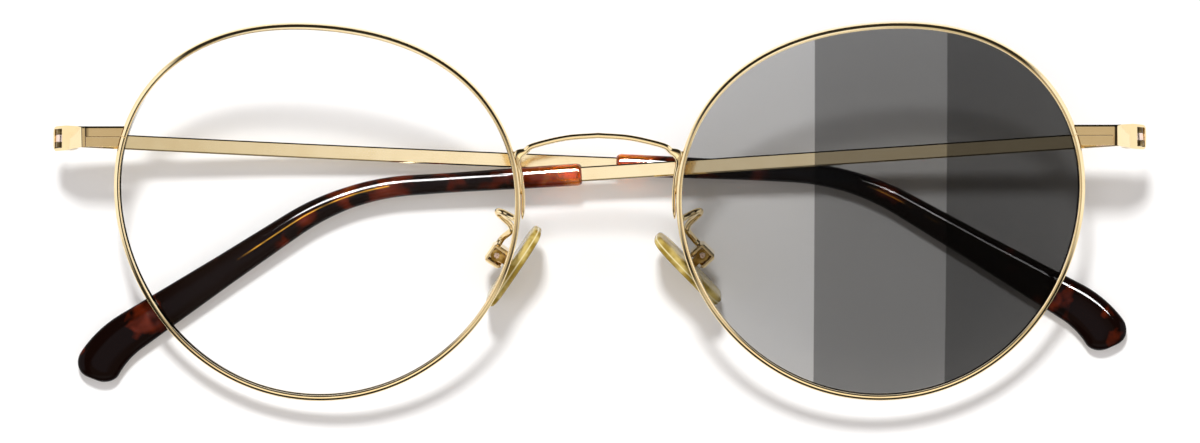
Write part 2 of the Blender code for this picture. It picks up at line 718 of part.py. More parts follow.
def bar_stations(side, grow):
    """Lengths and sections of the bar and its core wire, larger all round by grow."""
    end = path_length(side) - CORE_SHORT - TIP_ROUND
    first = BAR_START - grow
    lengths = list(np.linspace(first, BAR_LENGTH, 13))
    lengths += list(np.linspace(BAR_LENGTH + CORE_TAPER, end + grow, 20))
    flats = []
    for length in lengths:
        share = min(max((length - BAR_LENGTH) / CORE_TAPER, 0.0), 1.0)
        height = BAR_HEIGHT + (CORE_HEIGHT - BAR_HEIGHT) * share
        thickness = BAR_THICKNESS + (CORE_THICKNESS - BAR_THICKNESS) * share
        flats.append(rounded_section(height + 2 * grow, thickness + 2 * grow, BAR_CHAMFER, 1))
    return lengths, flats


def sleeve_height(side, length):
    """Height of the sleeve at a length along the temple, eased between its named sizes."""
    end = path_length(side)
    knots = (BAR_LENGTH, BAR_LENGTH + 0.6 * (BEND_POINT - BAR_LENGTH), BEND_POINT,
             BEND_POINT + 0.45 * (end - BEND_POINT), end - TIP_ROUND, end)
    sizes = (SLEEVE_MOUTH, SLEEVE_NECK, SLEEVE_BEND, SLEEVE_MIDDLE, SLEEVE_END, SLEEVE_END)
    spot = int(np.clip(np.searchsorted(knots, length) - 1, 0, len(knots) - 2))
    share = (length - knots[spot]) / (knots[spot + 1] - knots[spot])
    eased = share if spot else share * share * (3 - 2 * share)
    return sizes[spot] + (sizes[spot + 1] - sizes[spot]) * eased


def sleeve_stations(side):
    """Lengths and sections of the sleeve, from its mouth to its rounded end."""
    end = path_length(side)
    lengths = list(np.linspace(BAR_LENGTH, end - TIP_ROUND, SLEEVE_STEPS))
    flats = []
    for length in lengths:
        flats.append(
            rounded_section(sleeve_height(side, length), SLEEVE_THICKNESS, SLEEVE_CORNER, 3)
        )
    for turn in (30 * DEG, 55 * DEG, 75 * DEG):
        lengths.append(end - TIP_ROUND + TIP_ROUND * math.sin(turn))
        height = SLEEVE_END - 2 * TIP_ROUND * (1 - math.cos(turn))
        thickness = SLEEVE_THICKNESS * (0.45 + 0.55 * math.cos(turn))
        flats.append(rounded_section(height, thickness, SLEEVE_CORNER, 3))
    mouth = rounded_section(SLEEVE_MOUTH * 0.86, SLEEVE_THICKNESS * 0.84, SLEEVE_CORNER, 3)
    return [lengths[0], lengths[0] + SLEEVE_LIP] + lengths[1:], [mouth] + flats


def make_temple(side, pivot, gold, acetate):
    """Bar with its core wire, and the sleeve that is bored for it."""
    lengths, flats = bar_stations(side, 0.0)
    name = f"temple_bar_{side}"
    add_object(name, loft(name, sections_along(side, lengths, flats)), pivot, gold)
    lengths, flats = sleeve_stations(side)
    name = f"temple_tip_{side}"
    sleeve = add_object(name, loft(name, sections_along(side, lengths, flats)), pivot, acetate)
    lengths, flats = bar_stations(side, CORE_CLEARANCE)
    name = f"core_bore_{side}"
    keep = [i for i, length in enumerate(lengths) if length > 0.9 * BAR_LENGTH]
    sections = sections_along(side, [lengths[i] for i in keep], [flats[i] for i in keep])
    bore = add_object(name, loft(name, sections), pivot)
    combine(sleeve, bore, "DIFFERENCE")


def sleeve_cloud(side):
    """All section points of a sleeve as (distance from the hinge axis, inward)."""
    lengths, flats = sleeve_stations(side)
    points = np.vstack(sections_along(side, lengths, flats))
    return np.abs(points[:, 0]), points[:, 2]


def flat_hinge_height(side):
    """Height of a hinge whose temple, folded by its own bow, lies flat on the table."""
    reach, inward = sleeve_cloud(side)
    return float(np.max(reach * math.sin(BOW[side]) - inward * math.cos(BOW[side])))


def fold_to_table(side, height):
    """Fold angle at which the sleeve's lowest point just meets the table."""
    reach, inward = sleeve_cloud(side)
    angle = np.arcsin(height / np.hypot(reach, inward)) + np.arctan2(inward, reach)
    return float(np.min(angle))


def pad_frame(side, front):
    """Empty at a pad's screw, its x along the pad and its y from the screw to the pad."""
    seat = float(lens_face(BOX_ACROSS - LENS_CENTRE, -BOX_DOWN))
    place = Vector((SIDES[side] * BOX_ACROSS, -BOX_DOWN, seat - BOX_BACK))
    angle = PAD_ANGLE[side]
    along = Vector((SIDES[side] * math.cos(angle), -math.sin(angle), 0))
    toward = Vector((-SIDES[side] * math.sin(angle), -math.cos(angle), 0))
    turn = Matrix((along, toward, along.cross(toward))).transposed()
    return add_empty(f"pad_pivot_{side}", front, place, turn.to_euler())


def make_pad_box(side, frame, gold, steel):
    """Open box that holds the pad's eye, and the screw through both."""
    up = -SIDES[side]
    half = Vector((BOX_HEIGHT / 2, BOX_WIDTH / 2, BOX_DEPTH / 2))
    holder = box(f"pad_box_{side}", -half, half, frame)
    holder.data.materials.append(gold)
    bevel_edges(holder, BOX_WALL / 2)
    floor = BOX_DEPTH / 2 - BOX_WALL
    reach = BOX_DEPTH
    inner = (BOX_HEIGHT / 2 - BOX_WALL, BOX_WIDTH / 2 - BOX_WALL)
    levels = sorted((-up * floor, up * reach))
    hollow = box(
        f"pad_box_room_{side}", (-inner[0], -inner[1], levels[0]),
        (inner[0], inner[1], levels[1]), frame,
    )
    combine(holder, hollow, "DIFFERENCE")
    wall = BOX_WIDTH / 2
    opening = NECK_WIDTH / 2 + wall * math.tan(PAD_PLAY) + 3 * RUNNING_GAP
    mouth = box(
        f"pad_box_mouth_{side}", (-opening, 0, levels[0]), (opening, 2 * wall, levels[1]), frame
    )
    combine(holder, mouth, "DIFFERENCE")
    bore = cylinder(
        f"pad_box_bore_{side}", SCREW_RADIUS + SCREW_CLEARANCE, -BOX_DEPTH, BOX_DEPTH, frame, "Z"
    )
    combine(holder, bore, "DIFFERENCE")
    eye_top = EYE_HEIGHT / 2
    head = eye_top + RUNNING_GAP + HEAD_HEIGHT
    ends = sorted((-up * BOX_DEPTH / 2, up * head))
    make_screw(f"pad_screw_{side}", frame, (0, 0, 0), ends[0], ends[1], up > 0, "Z", steel)


def make_pad(side, frame, gold, soft):
    """Metal core with its eye, and the soft pad with a pocket for the core's plate."""
    name = f"pad_core_{side}"
    eye = cylinder(name, EYE_RADIUS, -EYE_HEIGHT / 2, EYE_HEIGHT / 2, frame, "Z")
    eye.data.materials.append(gold)
    half = 0.45 * EYE_HEIGHT
    neck = box(
        name + "_neck", (-NECK_WIDTH / 2, 0, -half),
        (NECK_WIDTH / 2, PAD_BACK + PLATE_THICKNESS / 2, half), frame,
    )
    combine(eye, neck, "UNION")
    plate = box(
        name + "_plate", (-PLATE_LENGTH / 2, PAD_BACK, -PLATE_WIDTH / 2),
        (PLATE_LENGTH / 2, PAD_BACK + PLATE_THICKNESS, PLATE_WIDTH / 2), frame,
    )
    combine(eye, plate, "UNION")
    bore = cylinder(
        name + "_bore", SCREW_RADIUS + SCREW_CLEARANCE, -EYE_HEIGHT, EYE_HEIGHT, frame, "Z"
    )
    combine(eye, bore, "DIFFERENCE")

    name = f"nose_pad_{side}"
    work = bmesh.new()
    bmesh.ops.create_uvsphere(work, u_segments=24, v_segments=10, radius=1.0)
    for vertex in work.verts:
        x, y, z = vertex.co
        flat = math.hypot(x, y)
        edge = (abs(z) ** PAD_SQUARENESS + flat**PAD_SQUARENESS) ** (-1 / PAD_SQUARENESS)
        crown = 1.0 if z > 0 else PAD_BACK_SHARE
        along, wide, out = x * edge, y * edge, z * edge * crown
        curl = PAD_CURL * (1 - along * along)
        vertex.co = (
            along * PAD_LENGTH / 2,
            PAD_OFFSET + (out + curl) * PAD_THICKNESS / 2,
            wide * PAD_WIDTH / 2 * (1 + 0.08 * along),
        )
    pad = add_object(name, finish_mesh(name, work), frame, soft)
    long = PLATE_LENGTH / 2 + SEAT_GAP
    wide = PLATE_WIDTH / 2 + SEAT_GAP
    pocket = box(
        name + "_pocket", (-long, 0, -wide),
        (long, PAD_BACK + PLATE_THICKNESS + SEAT_GAP, wide), frame,
    )
    combine(pad, pocket, "DIFFERENCE")


def make_pad_arm(side, front, frame, gold):
    """Hairpin wire from the back of the rim to the top of the pad's box."""
    height = -ARM_FOOT_DOWN
    angle = angle_at_height(height, False)
    back = -RIM_DEPTH / 2 - SEAT_GAP
    foot = on_front(side, outline(angle, 0.0), back)[0]
    sign = SIDES[side]
    route = [foot]
    for across, up, forward in ARM_ROUTE:
        route.append(foot + np.array((sign * across, up, forward)) * MM)
    reach = BOX_HEIGHT / 2 + SEAT_GAP
    matrix = frame.matrix_basis
    entry = matrix @ Vector((-reach, -BOX_WIDTH / 4, 0))
    before = matrix @ Vector((-reach - 2 * ARM_RADIUS, -BOX_WIDTH / 4, 0))
    route += [np.array(before), np.array(entry)]
    points = smooth_route(route, 3)
    name = f"pad_arm_{side}"
    wire = bpy.data.curves.new(name, "CURVE")
    wire.dimensions = "3D"
    wire.bevel_depth = ARM_RADIUS
    wire.bevel_resolution = 2
    wire.use_fill_caps = True
    spline = wire.splines.new("POLY")
    spline.points.add(len(points) - 1)
    for spot, point in zip(spline.points, points):
        spot.co = (*point, 1.0)
    wire.materials.append(gold)
    item = bpy.data.objects.new(name, wire)
    PARTS.objects.link(item)
    item.parent = front


def add_empty(name, parent, place, turn=(0.0, 0.0, 0.0)):
    """An empty that carries other objects."""
    empty = bpy.data.objects.new(name, None)
    empty.empty_display_size = 3 * MM
    bpy.context.scene.collection.objects.link(empty)
    empty.parent = parent
    empty.location = place
    empty.rotation_euler = turn
    return empty


def centre_on_origin(root):
    """Move everything so that the origin lies under the middle of the glasses."""
    bpy.context.view_layer.update()
    graph = bpy.context.evaluated_depsgraph_get()
    low = np.full(3, np.inf)
    high = np.full(3, -np.inf)
    for item in PARTS.objects:
        solid = item.evaluated_get(graph)
        mesh = solid.to_mesh()
        points = np.empty(len(mesh.vertices) * 3)
        mesh.vertices.foreach_get("co", points)
        points = points.reshape(-1, 3)
        matrix = np.array(item.matrix_world)
        points = points @ matrix[:3, :3].T + matrix[:3, 3]
        low = np.minimum(low, points.min(axis=0))
        high = np.maximum(high, points.max(axis=0))
        solid.to_mesh_clear()
    middle = (low + high) / 2
    root.location = (-middle[0], -middle[1], -low[2])
    bpy.context.view_layer.update()


for old in list(bpy.data.objects):
    bpy.data.objects.remove(old, do_unlink=True)

PARTS = make_collection("computer_glasses")
CUTTERS = make_collection("cutters")

GOLD = make_material("gold_plate", (0.80, 0.60, 0.30), 1.0, 0.22)
STEEL = make_material("gold_screw", (0.78, 0.62, 0.38), 1.0, 0.3)
ACETATE = make_material("tortoise_acetate", (0.06, 0.02, 0.01), 0.0, 0.15)
CLEAR = make_material("clear_lens", (0.95, 0.97, 0.97), 0.0, 0.03, 1.0)
GREY = make_material("grey_lens", (0.12, 0.12, 0.12), 0.0, 0.03, 0.6)
SOFT = make_material("pad_silicone", (0.78, 0.72, 0.42), 0.0, 0.25, 0.5)

ROOT = add_empty("glasses", None, (0, 0, 0))
FRONT_TURN = Euler((FRONT_PITCH, -FRONT_ROLL, 0.0))
TURN = FRONT_TURN.to_matrix()
RIGHT_HINGE = TURN @ hinge_place("right", FRONT_TURN)
FRONT_HEIGHT = flat_hinge_height("right") - RIGHT_HINGE.z
FRONT = add_empty("front", ROOT, (0, 0, FRONT_HEIGHT), FRONT_TURN)
make_bridge(FRONT, GOLD)

for SIDE, SIGN in SIDES.items():
    PLACE = TURN @ hinge_place(SIDE, FRONT_TURN) + Vector((0, 0, FRONT_HEIGHT))
    FOLD = BOW[SIDE] if SIDE == "right" else fold_to_table(SIDE, PLACE.z)
    AXIS = add_empty(f"hinge_axis_{SIDE}", ROOT, PLACE, (0, 0, SIGN * HINGE_TILT[SIDE]))
    PIVOT = add_empty(f"temple_pivot_{SIDE}", AXIS, (0, 0, 0), (0, -SIGN * FOLD, 0))
    make_rim(SIDE, FRONT, GOLD)
    make_lens(SIDE, FRONT, CLEAR if SIDE == "right" else GREY)
    make_end_piece(SIDE, FRONT, AXIS, FRONT_TURN, GOLD)
    make_hinge(SIDE, FRONT, AXIS, PIVOT, FRONT_TURN, GOLD, STEEL)
    make_temple(SIDE, PIVOT, GOLD, ACETATE)
    PAD_PIVOT = pad_frame(SIDE, FRONT)
    make_pad_box(SIDE, PAD_PIVOT, GOLD, STEEL)
    make_pad(SIDE, PAD_PIVOT, GOLD, SOFT)
    make_pad_arm(SIDE, FRONT, PAD_PIVOT, GOLD)

centre_on_origin(ROOT)
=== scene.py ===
"""Round metal computer glasses, folded on a white table: the finish of every piece.

The front faces up. +X is the wearer's left, +Y is up as worn and +Z is away from the
table. Each piece is worked out in the frame that carries it (the front, a temple or a
nose pad) and is then carried to its place, in metres.
"""

import json
import math
from functools import partial

import bmesh
import bpy
import numpy as np
from bpy.props import FloatProperty, FloatVectorProperty, PointerProperty
from mathutils import Matrix, Vector


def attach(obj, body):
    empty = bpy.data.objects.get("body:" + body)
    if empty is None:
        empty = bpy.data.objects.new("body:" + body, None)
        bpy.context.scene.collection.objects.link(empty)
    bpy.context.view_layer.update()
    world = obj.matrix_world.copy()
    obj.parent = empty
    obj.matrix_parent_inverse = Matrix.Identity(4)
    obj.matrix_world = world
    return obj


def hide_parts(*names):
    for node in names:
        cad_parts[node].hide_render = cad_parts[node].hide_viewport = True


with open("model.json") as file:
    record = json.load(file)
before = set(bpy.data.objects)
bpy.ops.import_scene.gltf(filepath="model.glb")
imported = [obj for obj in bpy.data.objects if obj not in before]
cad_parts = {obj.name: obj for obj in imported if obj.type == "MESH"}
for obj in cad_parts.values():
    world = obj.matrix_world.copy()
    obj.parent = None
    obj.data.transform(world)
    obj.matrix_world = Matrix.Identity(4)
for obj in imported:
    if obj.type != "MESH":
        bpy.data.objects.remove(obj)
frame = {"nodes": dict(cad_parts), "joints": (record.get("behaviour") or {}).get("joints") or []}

bl_info = {
    "name": "Round computer glasses",
    "version": (1, 0, 0),
    "blender": (4, 5, 0),
    "location": "3D View > Sidebar > Glasses",
    "description": "Builds the visible pieces of folded round metal glasses",
    "category": "Add Mesh",
}

MM = 0.001
DEG = math.pi / 180
SIDES = {"right": -1.0, "left": 1.0}
FORWARD = (0.0, 0.0, 1.0)
WHITE = (1.0, 1.0, 1.0, 1.0)
SHARP_METAL = 35 * DEG

# Outline of the lens: how far it swells from a circle, as shares of its radius
SWELL = ((2, 0.0252, 9.9 * DEG), (3, 0.0249, 36.1 * DEG), (4, -0.0063, 0.0))
LENS_RADIUS = 130.0 * MM
LENS_THICKNESS = 1.5 * MM
LENS_SHOULDER = 0.42 * MM
LENS_BEVEL = 0.38 * MM
WRAP = 3.5 * DEG
GROOVE_HALF = 0.45 * MM
GROOVE_FLOOR = 0.03 * MM
RIM_SPLIT = 0.12 * MM
# Painted shade on a lens's ground edge: ring offsets, how dark each ring is, and the turn of its
# darkest side
EDGE_OFFSETS = tuple(-size * MM for size in (0.42, 0.56, 0.62))
EDGE_SHADES = (1.0, 1.0, 0.0)
EDGE_TURN = 18 * DEG
SEAT_GAP = 0.05 * MM

# Bridge
BRIDGE_FOOT_TOP = 7.3 * MM
BRIDGE_FOOT_END = -0.6 * MM
BRIDGE_FOOT = 0.5 * MM
BRIDGE_SWELL = 2.0 * MM
BRIDGE_FLARE = 0.75
FLARE_PLACE = 0.7 * MM
FLARE_WIDTH = 0.9 * MM
BRIDGE_CLOSE = 1.6 * MM
BRIDGE_SHOULDER = (-8.2 * MM, 9.15 * MM, 0.42 * MM)
BRIDGE_CROWN = (0.0, 10.5 * MM, 0.7 * MM)
BRIDGE_CORNER_UP = (0.0, 0.1 * MM, 0.0)
BRIDGE_QUARTER = (0.5, 0.75, 0.75)
BRIDGE_GROWN = 0.9
BRIDGE_THINNEST = 0.75
BRIDGE_SOLDER = (2.6 * MM, 8.1 * MM)
BRIDGE_BEAD = (0.62 * MM, 1.0 * MM)
BRIDGE_SECTION = (
    (-0.5, 0.22), (-0.36, 0.43), (0.10, 0.5), (0.5, 0.36), (0.22, -0.30), (0.0, -0.5), (-0.5, -0.4),
)

# End piece
STRIP_UP = 9.75 * MM
STRIP_HEIGHT = 2.65 * MM
STRIP_THICKNESS = 1.5 * MM
STRIP_SET_BACK = 0.12 * MM
STRIP_REACH = 4.4 * MM
STRIP_EDGE = (0.20 * MM, 0.19 * MM)
STRIP_DRAFT = 0.24 * MM
TWIST_LENGTH = 2.0 * MM
TAIL_LENGTH = 5.95 * MM
TAIL_HEIGHT = 3.2 * MM
TAIL_THICKNESS = 1.0 * MM
TAIL_CORNER = 0.8 * MM
TAIL_RELIEF = 0.54 * MM
TAIL_SLOPE = (35.9 * DEG, 57.9 * DEG)
HINGE_FROM_END = 1.25 * MM
WINDOW = (0.9 * MM, 1.25 * MM)
LOCK_END_GAP = 0.5 * MM
SEAM_GAP = 0.06 * MM
LINES_END = 0.6 * MM
LINE_DEPTH = 0.04 * MM
FINE_LINES = {"right": ((-0.44, 0.05), (0.0, 0.05)), "left": ((-0.12, 0.19),)}
FACET_LENGTH = 0.8 * MM
BLOCK_ROUND = 0.12 * MM
LOCK_ROUND = 0.06 * MM

# Temples
HINGE_TILT = {"right": 2.4 * DEG, "left": 3.5 * DEG}
FOLD = {"right": 8.5 * DEG, "left": 6.2731 * DEG}
BOW = {"right": 8.5 * DEG, "left": 4.4 * DEG}
BEND_ANGLE = {"right": 27.7 * DEG, "left": 29.8 * DEG}
BAR_START = 0.95 * MM
BAR_OFFSET = 0.905 * MM
BAR_LENGTH = 72.0 * MM
BAR_CHAMFER = 0.18 * MM
BAR_PINCH = (0.88, 0.95, 0.99)
CORE_HEIGHT = 1.2 * MM
CORE_THICKNESS = 0.7 * MM
CORE_TAPER = 9.0 * MM
CORE_SHORT = 6.0 * MM
CORE_CLEARANCE = 0.06 * MM
BEND_POINT = 102.6 * MM
BEND_RADIUS = 32.0 * MM
STRAIGHT_TIP = 25.2 * MM
HOOK_RADIUS = 13.0 * MM
HOOK_ANGLE = 35.0 * DEG
SLEEVE_SIZES = tuple(size * MM for size in (2.9, 2.6, 2.85, 4.0, 5.8, 5.8))
SLEEVE_POWER = 2.3
LIP = 0.8 * MM
LIP_WALL = 0.42 * MM
TIP_ROUND = 2.2 * MM

# Reflections of the coated lens: weak, and the same on its way in and out
LENS_COATED_IOR = 1.12
LENS_MOST_GLOSS = 0.10

# Tint of the lenses: one passage of the clear one, and where the steps of the grey one are
CLEAR_TINT = (0.995, 0.995, 0.995, 1.0)
TINT_EDGES = (27.70 * MM, 44.65 * MM)
TINT_BLUR = 0.05 * MM

# Nose pads
PAD_ANGLE = {"right": 56.0 * DEG, "left": 46.0 * DEG}
PAD_OFFSET = 2.6 * MM
PAD_BACK_SHARE = 0.95
PAD_CURL = 0.05
PAD_SQUARENESS = 5.0
PAD_PLAN = 4.5
# Width of the painted highlight round a pad's edge, as a share of its half thickness
HIGHLIGHT_BAND_SHARE = 0.09
PAD_POLE = 0.03
PAD_SPREAD = 0.08
BOX_SIZE = (2.7 * MM, 2.5 * MM, 2.4 * MM)
BOX_CHAMFER = 0.22 * MM
BOX_CORNER = 0.42 * MM
SCREW_SHARE = 0.62
ARM_RADIUS = 0.42 * MM
ARM_FOOT_DOWN = 0.9 * MM
ARM_BEAD_HALF = 0.9 * MM
ARM_BEAD = (0.7 * MM, 0.5 * MM)
ARM_ASIDE = (0.35, 0.2, 1.0)
ARM_ROUTE = (
    (0.35, 0.10, -0.55), (1.15, 0.45, -1.00), (1.95, 0.80, -1.25), (2.50, 0.80, -1.75),
    (2.45, 0.35, -2.35), (1.80, -0.35, -2.70), (1.10, -1.05, -2.90), (0.85, -1.95, -3.10),
)

# Table, and the camera with its aim (right, above, height over the table)
TABLE_HALF = 0.6
TABLE_Z = -0.02 * MM
CAMERA_AZIMUTH = 7.63 * DEG
CAMERA_ELEVATION = 86.59 * DEG
CAMERA_DISTANCE = 0.890
CAMERA_LENS = 206.9
CAMERA_AIM = (0.155 * MM, -1.036 * MM, 8.0 * MM)

# Lamps: name, direction (x, y, z), distance, width and height, power, and what they light
LAMPS = (
    ("key", (-0.06, 0.545, 0.839), 1.5, (0.28, 0.28), 19.0, "shade"),
    ("narrow streak", (0.289, 0.544, 0.788), 0.6, (0.40, 0.10), 30.0, "gloss"),
    ("wide streak", (-0.147, 0.550, 0.822), 0.6, (0.36, 0.22), 60.0, "gloss"),
)
LAMP_COLOUR = (0.985, 0.99, 1.0)

# Room: parts of a direction that fade in, and how the parts make the four lights
ROOM_FADES = (
    ("out", "x", 0.66, 0.76), ("below_top", "z", 0.80, 0.68), ("level_y", "y2", 0.32, 0.12),
    ("zenith", "z", 0.90, 0.955), ("near", "y", 0.02, -0.25), ("middle", "x", 0.80, 0.55),
    ("raised", "z", 0.45, 0.65), ("low_near", "y", -0.60, -0.72), ("upper", "z", 0.30, 0.42),
    ("past_right", "east", -0.52, -0.40), ("centre", "east", 0.22, 0.02),
)
ROOM_JOINS = (
    ("cool", "MULTIPLY", "out", "below_top"), ("cool", "MULTIPLY", "cool", "level_y"),
    ("cool", "MULTIPLY", "cool", 1.5),
    ("low", "MULTIPLY", "low_near", "upper"), ("low", "MULTIPLY", "low", 0.9),
    ("level", "MULTIPLY", "centre", 0.42), ("level", "ADD", "level", 0.72),
    ("top", "MULTIPLY", "zenith", "level"),
    ("white", "MAXIMUM", "low", "top"), ("white", "MAXIMUM", "white", 0.03),
    ("window", "MULTIPLY", "zenith", "centre"), ("window", "MULTIPLY", "window", 0.35),
    ("open", "SUBTRACT", 1.0, "zenith"), ("warm", "MULTIPLY", "near", "middle"),
    ("warm", "MULTIPLY", "warm", "raised"), ("warm", "MULTIPLY", "warm", "open"),
    ("warm", "MULTIPLY", "warm", "past_right"), ("warm", "MULTIPLY", "warm", 0.64),
)
ROOM_COLOURS = (("white", "FFFEFD"), ("cool", "EEF2FF"), ("warm", "FFF3E4"), ("window", "8FB4FF"))

# How the front lies on the table
FRONT_PITCH = 15.0 * DEG
FRONT_ROLL = 0.8 * DEG
FRONT_PLACE = (-0.0150 * MM, -0.6374 * MM, 13.1613 * MM)


def length_property(label, what, millimetres):
    """A length that the sidebar shows in scene units, given here in millimetres."""
    return FloatProperty(
        name=label, description=what, default=millimetres * MM, min=0.0,
        precision=5, unit="LENGTH", subtype="DISTANCE",
    )


def from_hex(code):
    """Linear colour of an sRGB hex code: c/12.92 below 0.04045, else ((c+.055)/1.055)^2.4."""
    value = np.array([int(code[i:i + 2], 16) for i in (0, 2, 4)]) / 255
    linear = np.where(value <= 0.04045, value / 12.92, ((value + 0.055) / 1.055) ** 2.4)
    return tuple(float(part) for part in linear)


def colour_property(label, what, code):
    """A colour that the sidebar shows as a swatch, given here as sRGB hex."""
    return FloatVectorProperty(
        name=label, description=what, default=from_hex(code), size=3, min=0.0, max=1.0,
        subtype="COLOR",
    )


class GlassesSizes(bpy.types.PropertyGroup):
    """Sizes of the front, the temples and the nose pads."""

    lens_width: length_property("Lens width", "Boxed width of a lens", 51.8)
    lens_height: length_property("Lens height", "Boxed height of a lens", 48.75)
    bridge_gap: length_property("Bridge gap", "Gap between the two lens shapes", 20.7)
    rim_out: length_property("Rim outside", "Rim metal outside the lens shape", 0.40)
    rim_lip: length_property("Rim lip", "Rim metal inside the lens shape", 0.35)
    rim_depth: length_property("Rim depth", "Depth of the rim, front to back", 1.6)
    bridge_height: length_property("Bridge height", "Height of the bridge wire", 0.78)
    bridge_depth: length_property("Bridge depth", "Depth of the bridge wire", 1.5)
    bar_height: length_property("Bar height", "Height of a temple bar", 1.9)
    bar_thickness: length_property("Bar thickness", "Thickness of a temple bar", 1.15)
    sleeve_thickness: length_property("Sleeve thickness", "Thickness of a tip", 2.4)
    pad_length: length_property("Pad length", "Length of a nose pad", 11.7)
    pad_width: length_property("Pad width", "Width of a nose pad", 6.8)
    pad_thickness: length_property("Pad thickness", "Thickness of a nose pad", 1.6)


class GlassesColours(bpy.types.PropertyGroup):
    """Colours of the metal, the lenses, the acetate and the pads."""

    gold: colour_property("Gold plate", "Pale gold of the plated frame", "EBD3A2")
    gold_deep: colour_property("Worn gold", "Deeper gold where the plate is thin", "D9B87C")
    screw: colour_property("Screw", "Turned and plated screws", "E8CDB8")
    # Painted shade: the hinge leaves sit in the hinge windows and are darker for the shade there
    brass_dark: colour_property("Aged brass", "Browned brass of the hinge leaves", "5C4A2E")
    brass_worn: colour_property("Worn brass", "Rubbed patches of the hinge leaves", "A8905E")
    # Painted shade: the pad cores sit in the pad boxes and are darker for the shade there
    core_dark: colour_property("Core brass", "Browned brass in the pad boxes", "8A6828")
    core_worn: colour_property("Worn core brass", "Rubbed patches in the pad boxes", "E0BC70")
    # Painted shade: the dark colour of the filed lines on the end blocks
    seam: colour_property("Seam", "Dust and old lacquer in the filed lines", "2B1D0C")
    tint_nose: colour_property("Tint by the nose", "Lens band next to the nose", "D4D4D4")
    tint_middle: colour_property("Middle tint", "Lens band in the middle", "ADADAD")
    tint_temple: colour_property("Tint by the temple", "Lens band at the temple", "8E8E8E")
    lens_edge: colour_property("Lens edge", "Shadow in the ground edge of a lens", "2A2419")
    acetate_dark: colour_property("Dark acetate", "Nearly black brown of the tips", "100604")
    acetate_red: colour_property("Red acetate", "Red brown patches of the tips", "6B2208")
    acetate_amber: colour_property("Amber acetate", "Clear amber patches of the tips", "D07A20")
    # Painted highlight: the core wire seen through the tips, painted as a bright amber line
    acetate_painted_glint: colour_property("Core glint", "Core wire seen through the tips", "FFB83C")
    silicone: colour_property("Silicone", "Yellowed silicone of the nose pads", "DEC574")
    silicone_deep: colour_property("Stained silicone", "Deeper stain in the pads", "A48833")
    # Painted highlight: a pale band round the pad's edge
    silicone_painted_highlight: colour_property("Parting line", "Pale line round the pads", "F6E9B4")


def sizes():
    """The sizes set in the sidebar."""
    return bpy.context.scene.glasses_sizes


def joint_place(name):
    """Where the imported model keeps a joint, as a vector in metres."""
    return Vector(next(joint["pos_m"] for joint in frame["joints"] if joint["name"] == name))


def front_frame():
    """Frame of the front: pitched about X, then rolled about Y, at its height."""
    turn = Matrix.Rotation(-FRONT_ROLL, 4, "Y") @ Matrix.Rotation(FRONT_PITCH, 4, "X")
    return Matrix.Translation(FRONT_PLACE) @ turn


def temple_frame(side):
    """Frame of a temple: at its joint, tilted in the plane of the table and folded."""
    sign = SIDES[side]
    tilt = Matrix.Rotation(sign * HINGE_TILT[side], 4, "Z")
    fold = Matrix.Rotation(-sign * FOLD[side], 4, "Y")
    return Matrix.Translation(joint_place(f"temple_{side}_hinge")) @ tilt @ fold


def pad_frame(side):
    """Frame of a nose pad: x along the pad, y from its screw to the pad, z along the screw."""
    sign, angle = SIDES[side], PAD_ANGLE[side]
    along = Vector((sign * math.cos(angle), -math.sin(angle), 0))
    toward = Vector((-sign * math.sin(angle), -math.cos(angle), 0))
    turn = Matrix((along, toward, along.cross(toward))).transposed()
    turn = front_frame().to_3x3() @ turn
    return Matrix.Translation(joint_place(f"pad_{side}_rock")) @ turn.to_4x4()


def carry(matrix, points):
    """Points of a frame, as an array of any shape (..., 3), carried to the table's frame."""
    turn = np.array(matrix)
    return np.asarray(points) @ turn[:3, :3].T + turn[:3, 3]


def outline_shape(angle):
    """Radius at an angle: 1 plus the sum of share times cos(order (angle - phase))."""
    return 1 + sum(share * np.cos(order * (angle - phase)) for order, share, phase in SWELL)


def outline(angle, offset=0.0):
    """Points (outward, up) of the lens shape, stretched to its boxed width and height.

    The offset is added along the line from the middle; angle 0 is at the temple."""
    every = np.linspace(0, 2 * math.pi, 720, endpoint=False)
    turn = np.stack((np.cos(every), np.sin(every)), axis=1)
    flat = outline_shape(every)[:, None] * turn
    middle = (flat.max(axis=0) + flat.min(axis=0)) / 2
    scale = np.array((sizes().lens_width, sizes().lens_height)) / np.ptp(flat, axis=0)
    angle = np.atleast_1d(angle)
    turn = np.stack((np.cos(angle), np.sin(angle)), axis=-1)
    points = (outline_shape(angle)[..., None] * turn - middle) * scale
    return points * (1 + offset / np.linalg.norm(points, axis=-1, keepdims=True))


def angle_at_height(height, temple_side=True):
    """The angle at which the outline passes a height, on one side of the lens."""
    quarter = np.linspace(-math.pi / 2, math.pi / 2, 2001)
    angle = quarter if temple_side else math.pi - quarter
    return np.interp(height, outline(angle)[:, 1], angle)


def lens_face(outward, up):
    """Forward place of the lens's middle surface: a ball of LENS_RADIUS, wrapped back."""
    bulge = LENS_RADIUS - np.sqrt(LENS_RADIUS**2 - outward**2 - up**2)
    return -bulge - math.tan(WRAP) * outward


def lens_centre():
    """Distance of a lens's middle from the middle of the glasses."""
    return (sizes().lens_width + sizes().bridge_gap) / 2


def on_front(side, points, forward):
    """Points (outward, up) about a lens's middle, put in the frame of the front."""
    points = np.asarray(points)
    across = SIDES[side] * (lens_centre() + points[..., 0])
    depth = lens_face(points[..., 0], points[..., 1]) + forward
    return np.stack((across, points[..., 1], depth), axis=-1)


def unit(vectors):
    """Vectors of an array (..., axes) brought to length 1."""
    return vectors / np.linalg.norm(vectors, axis=-1, keepdims=True)


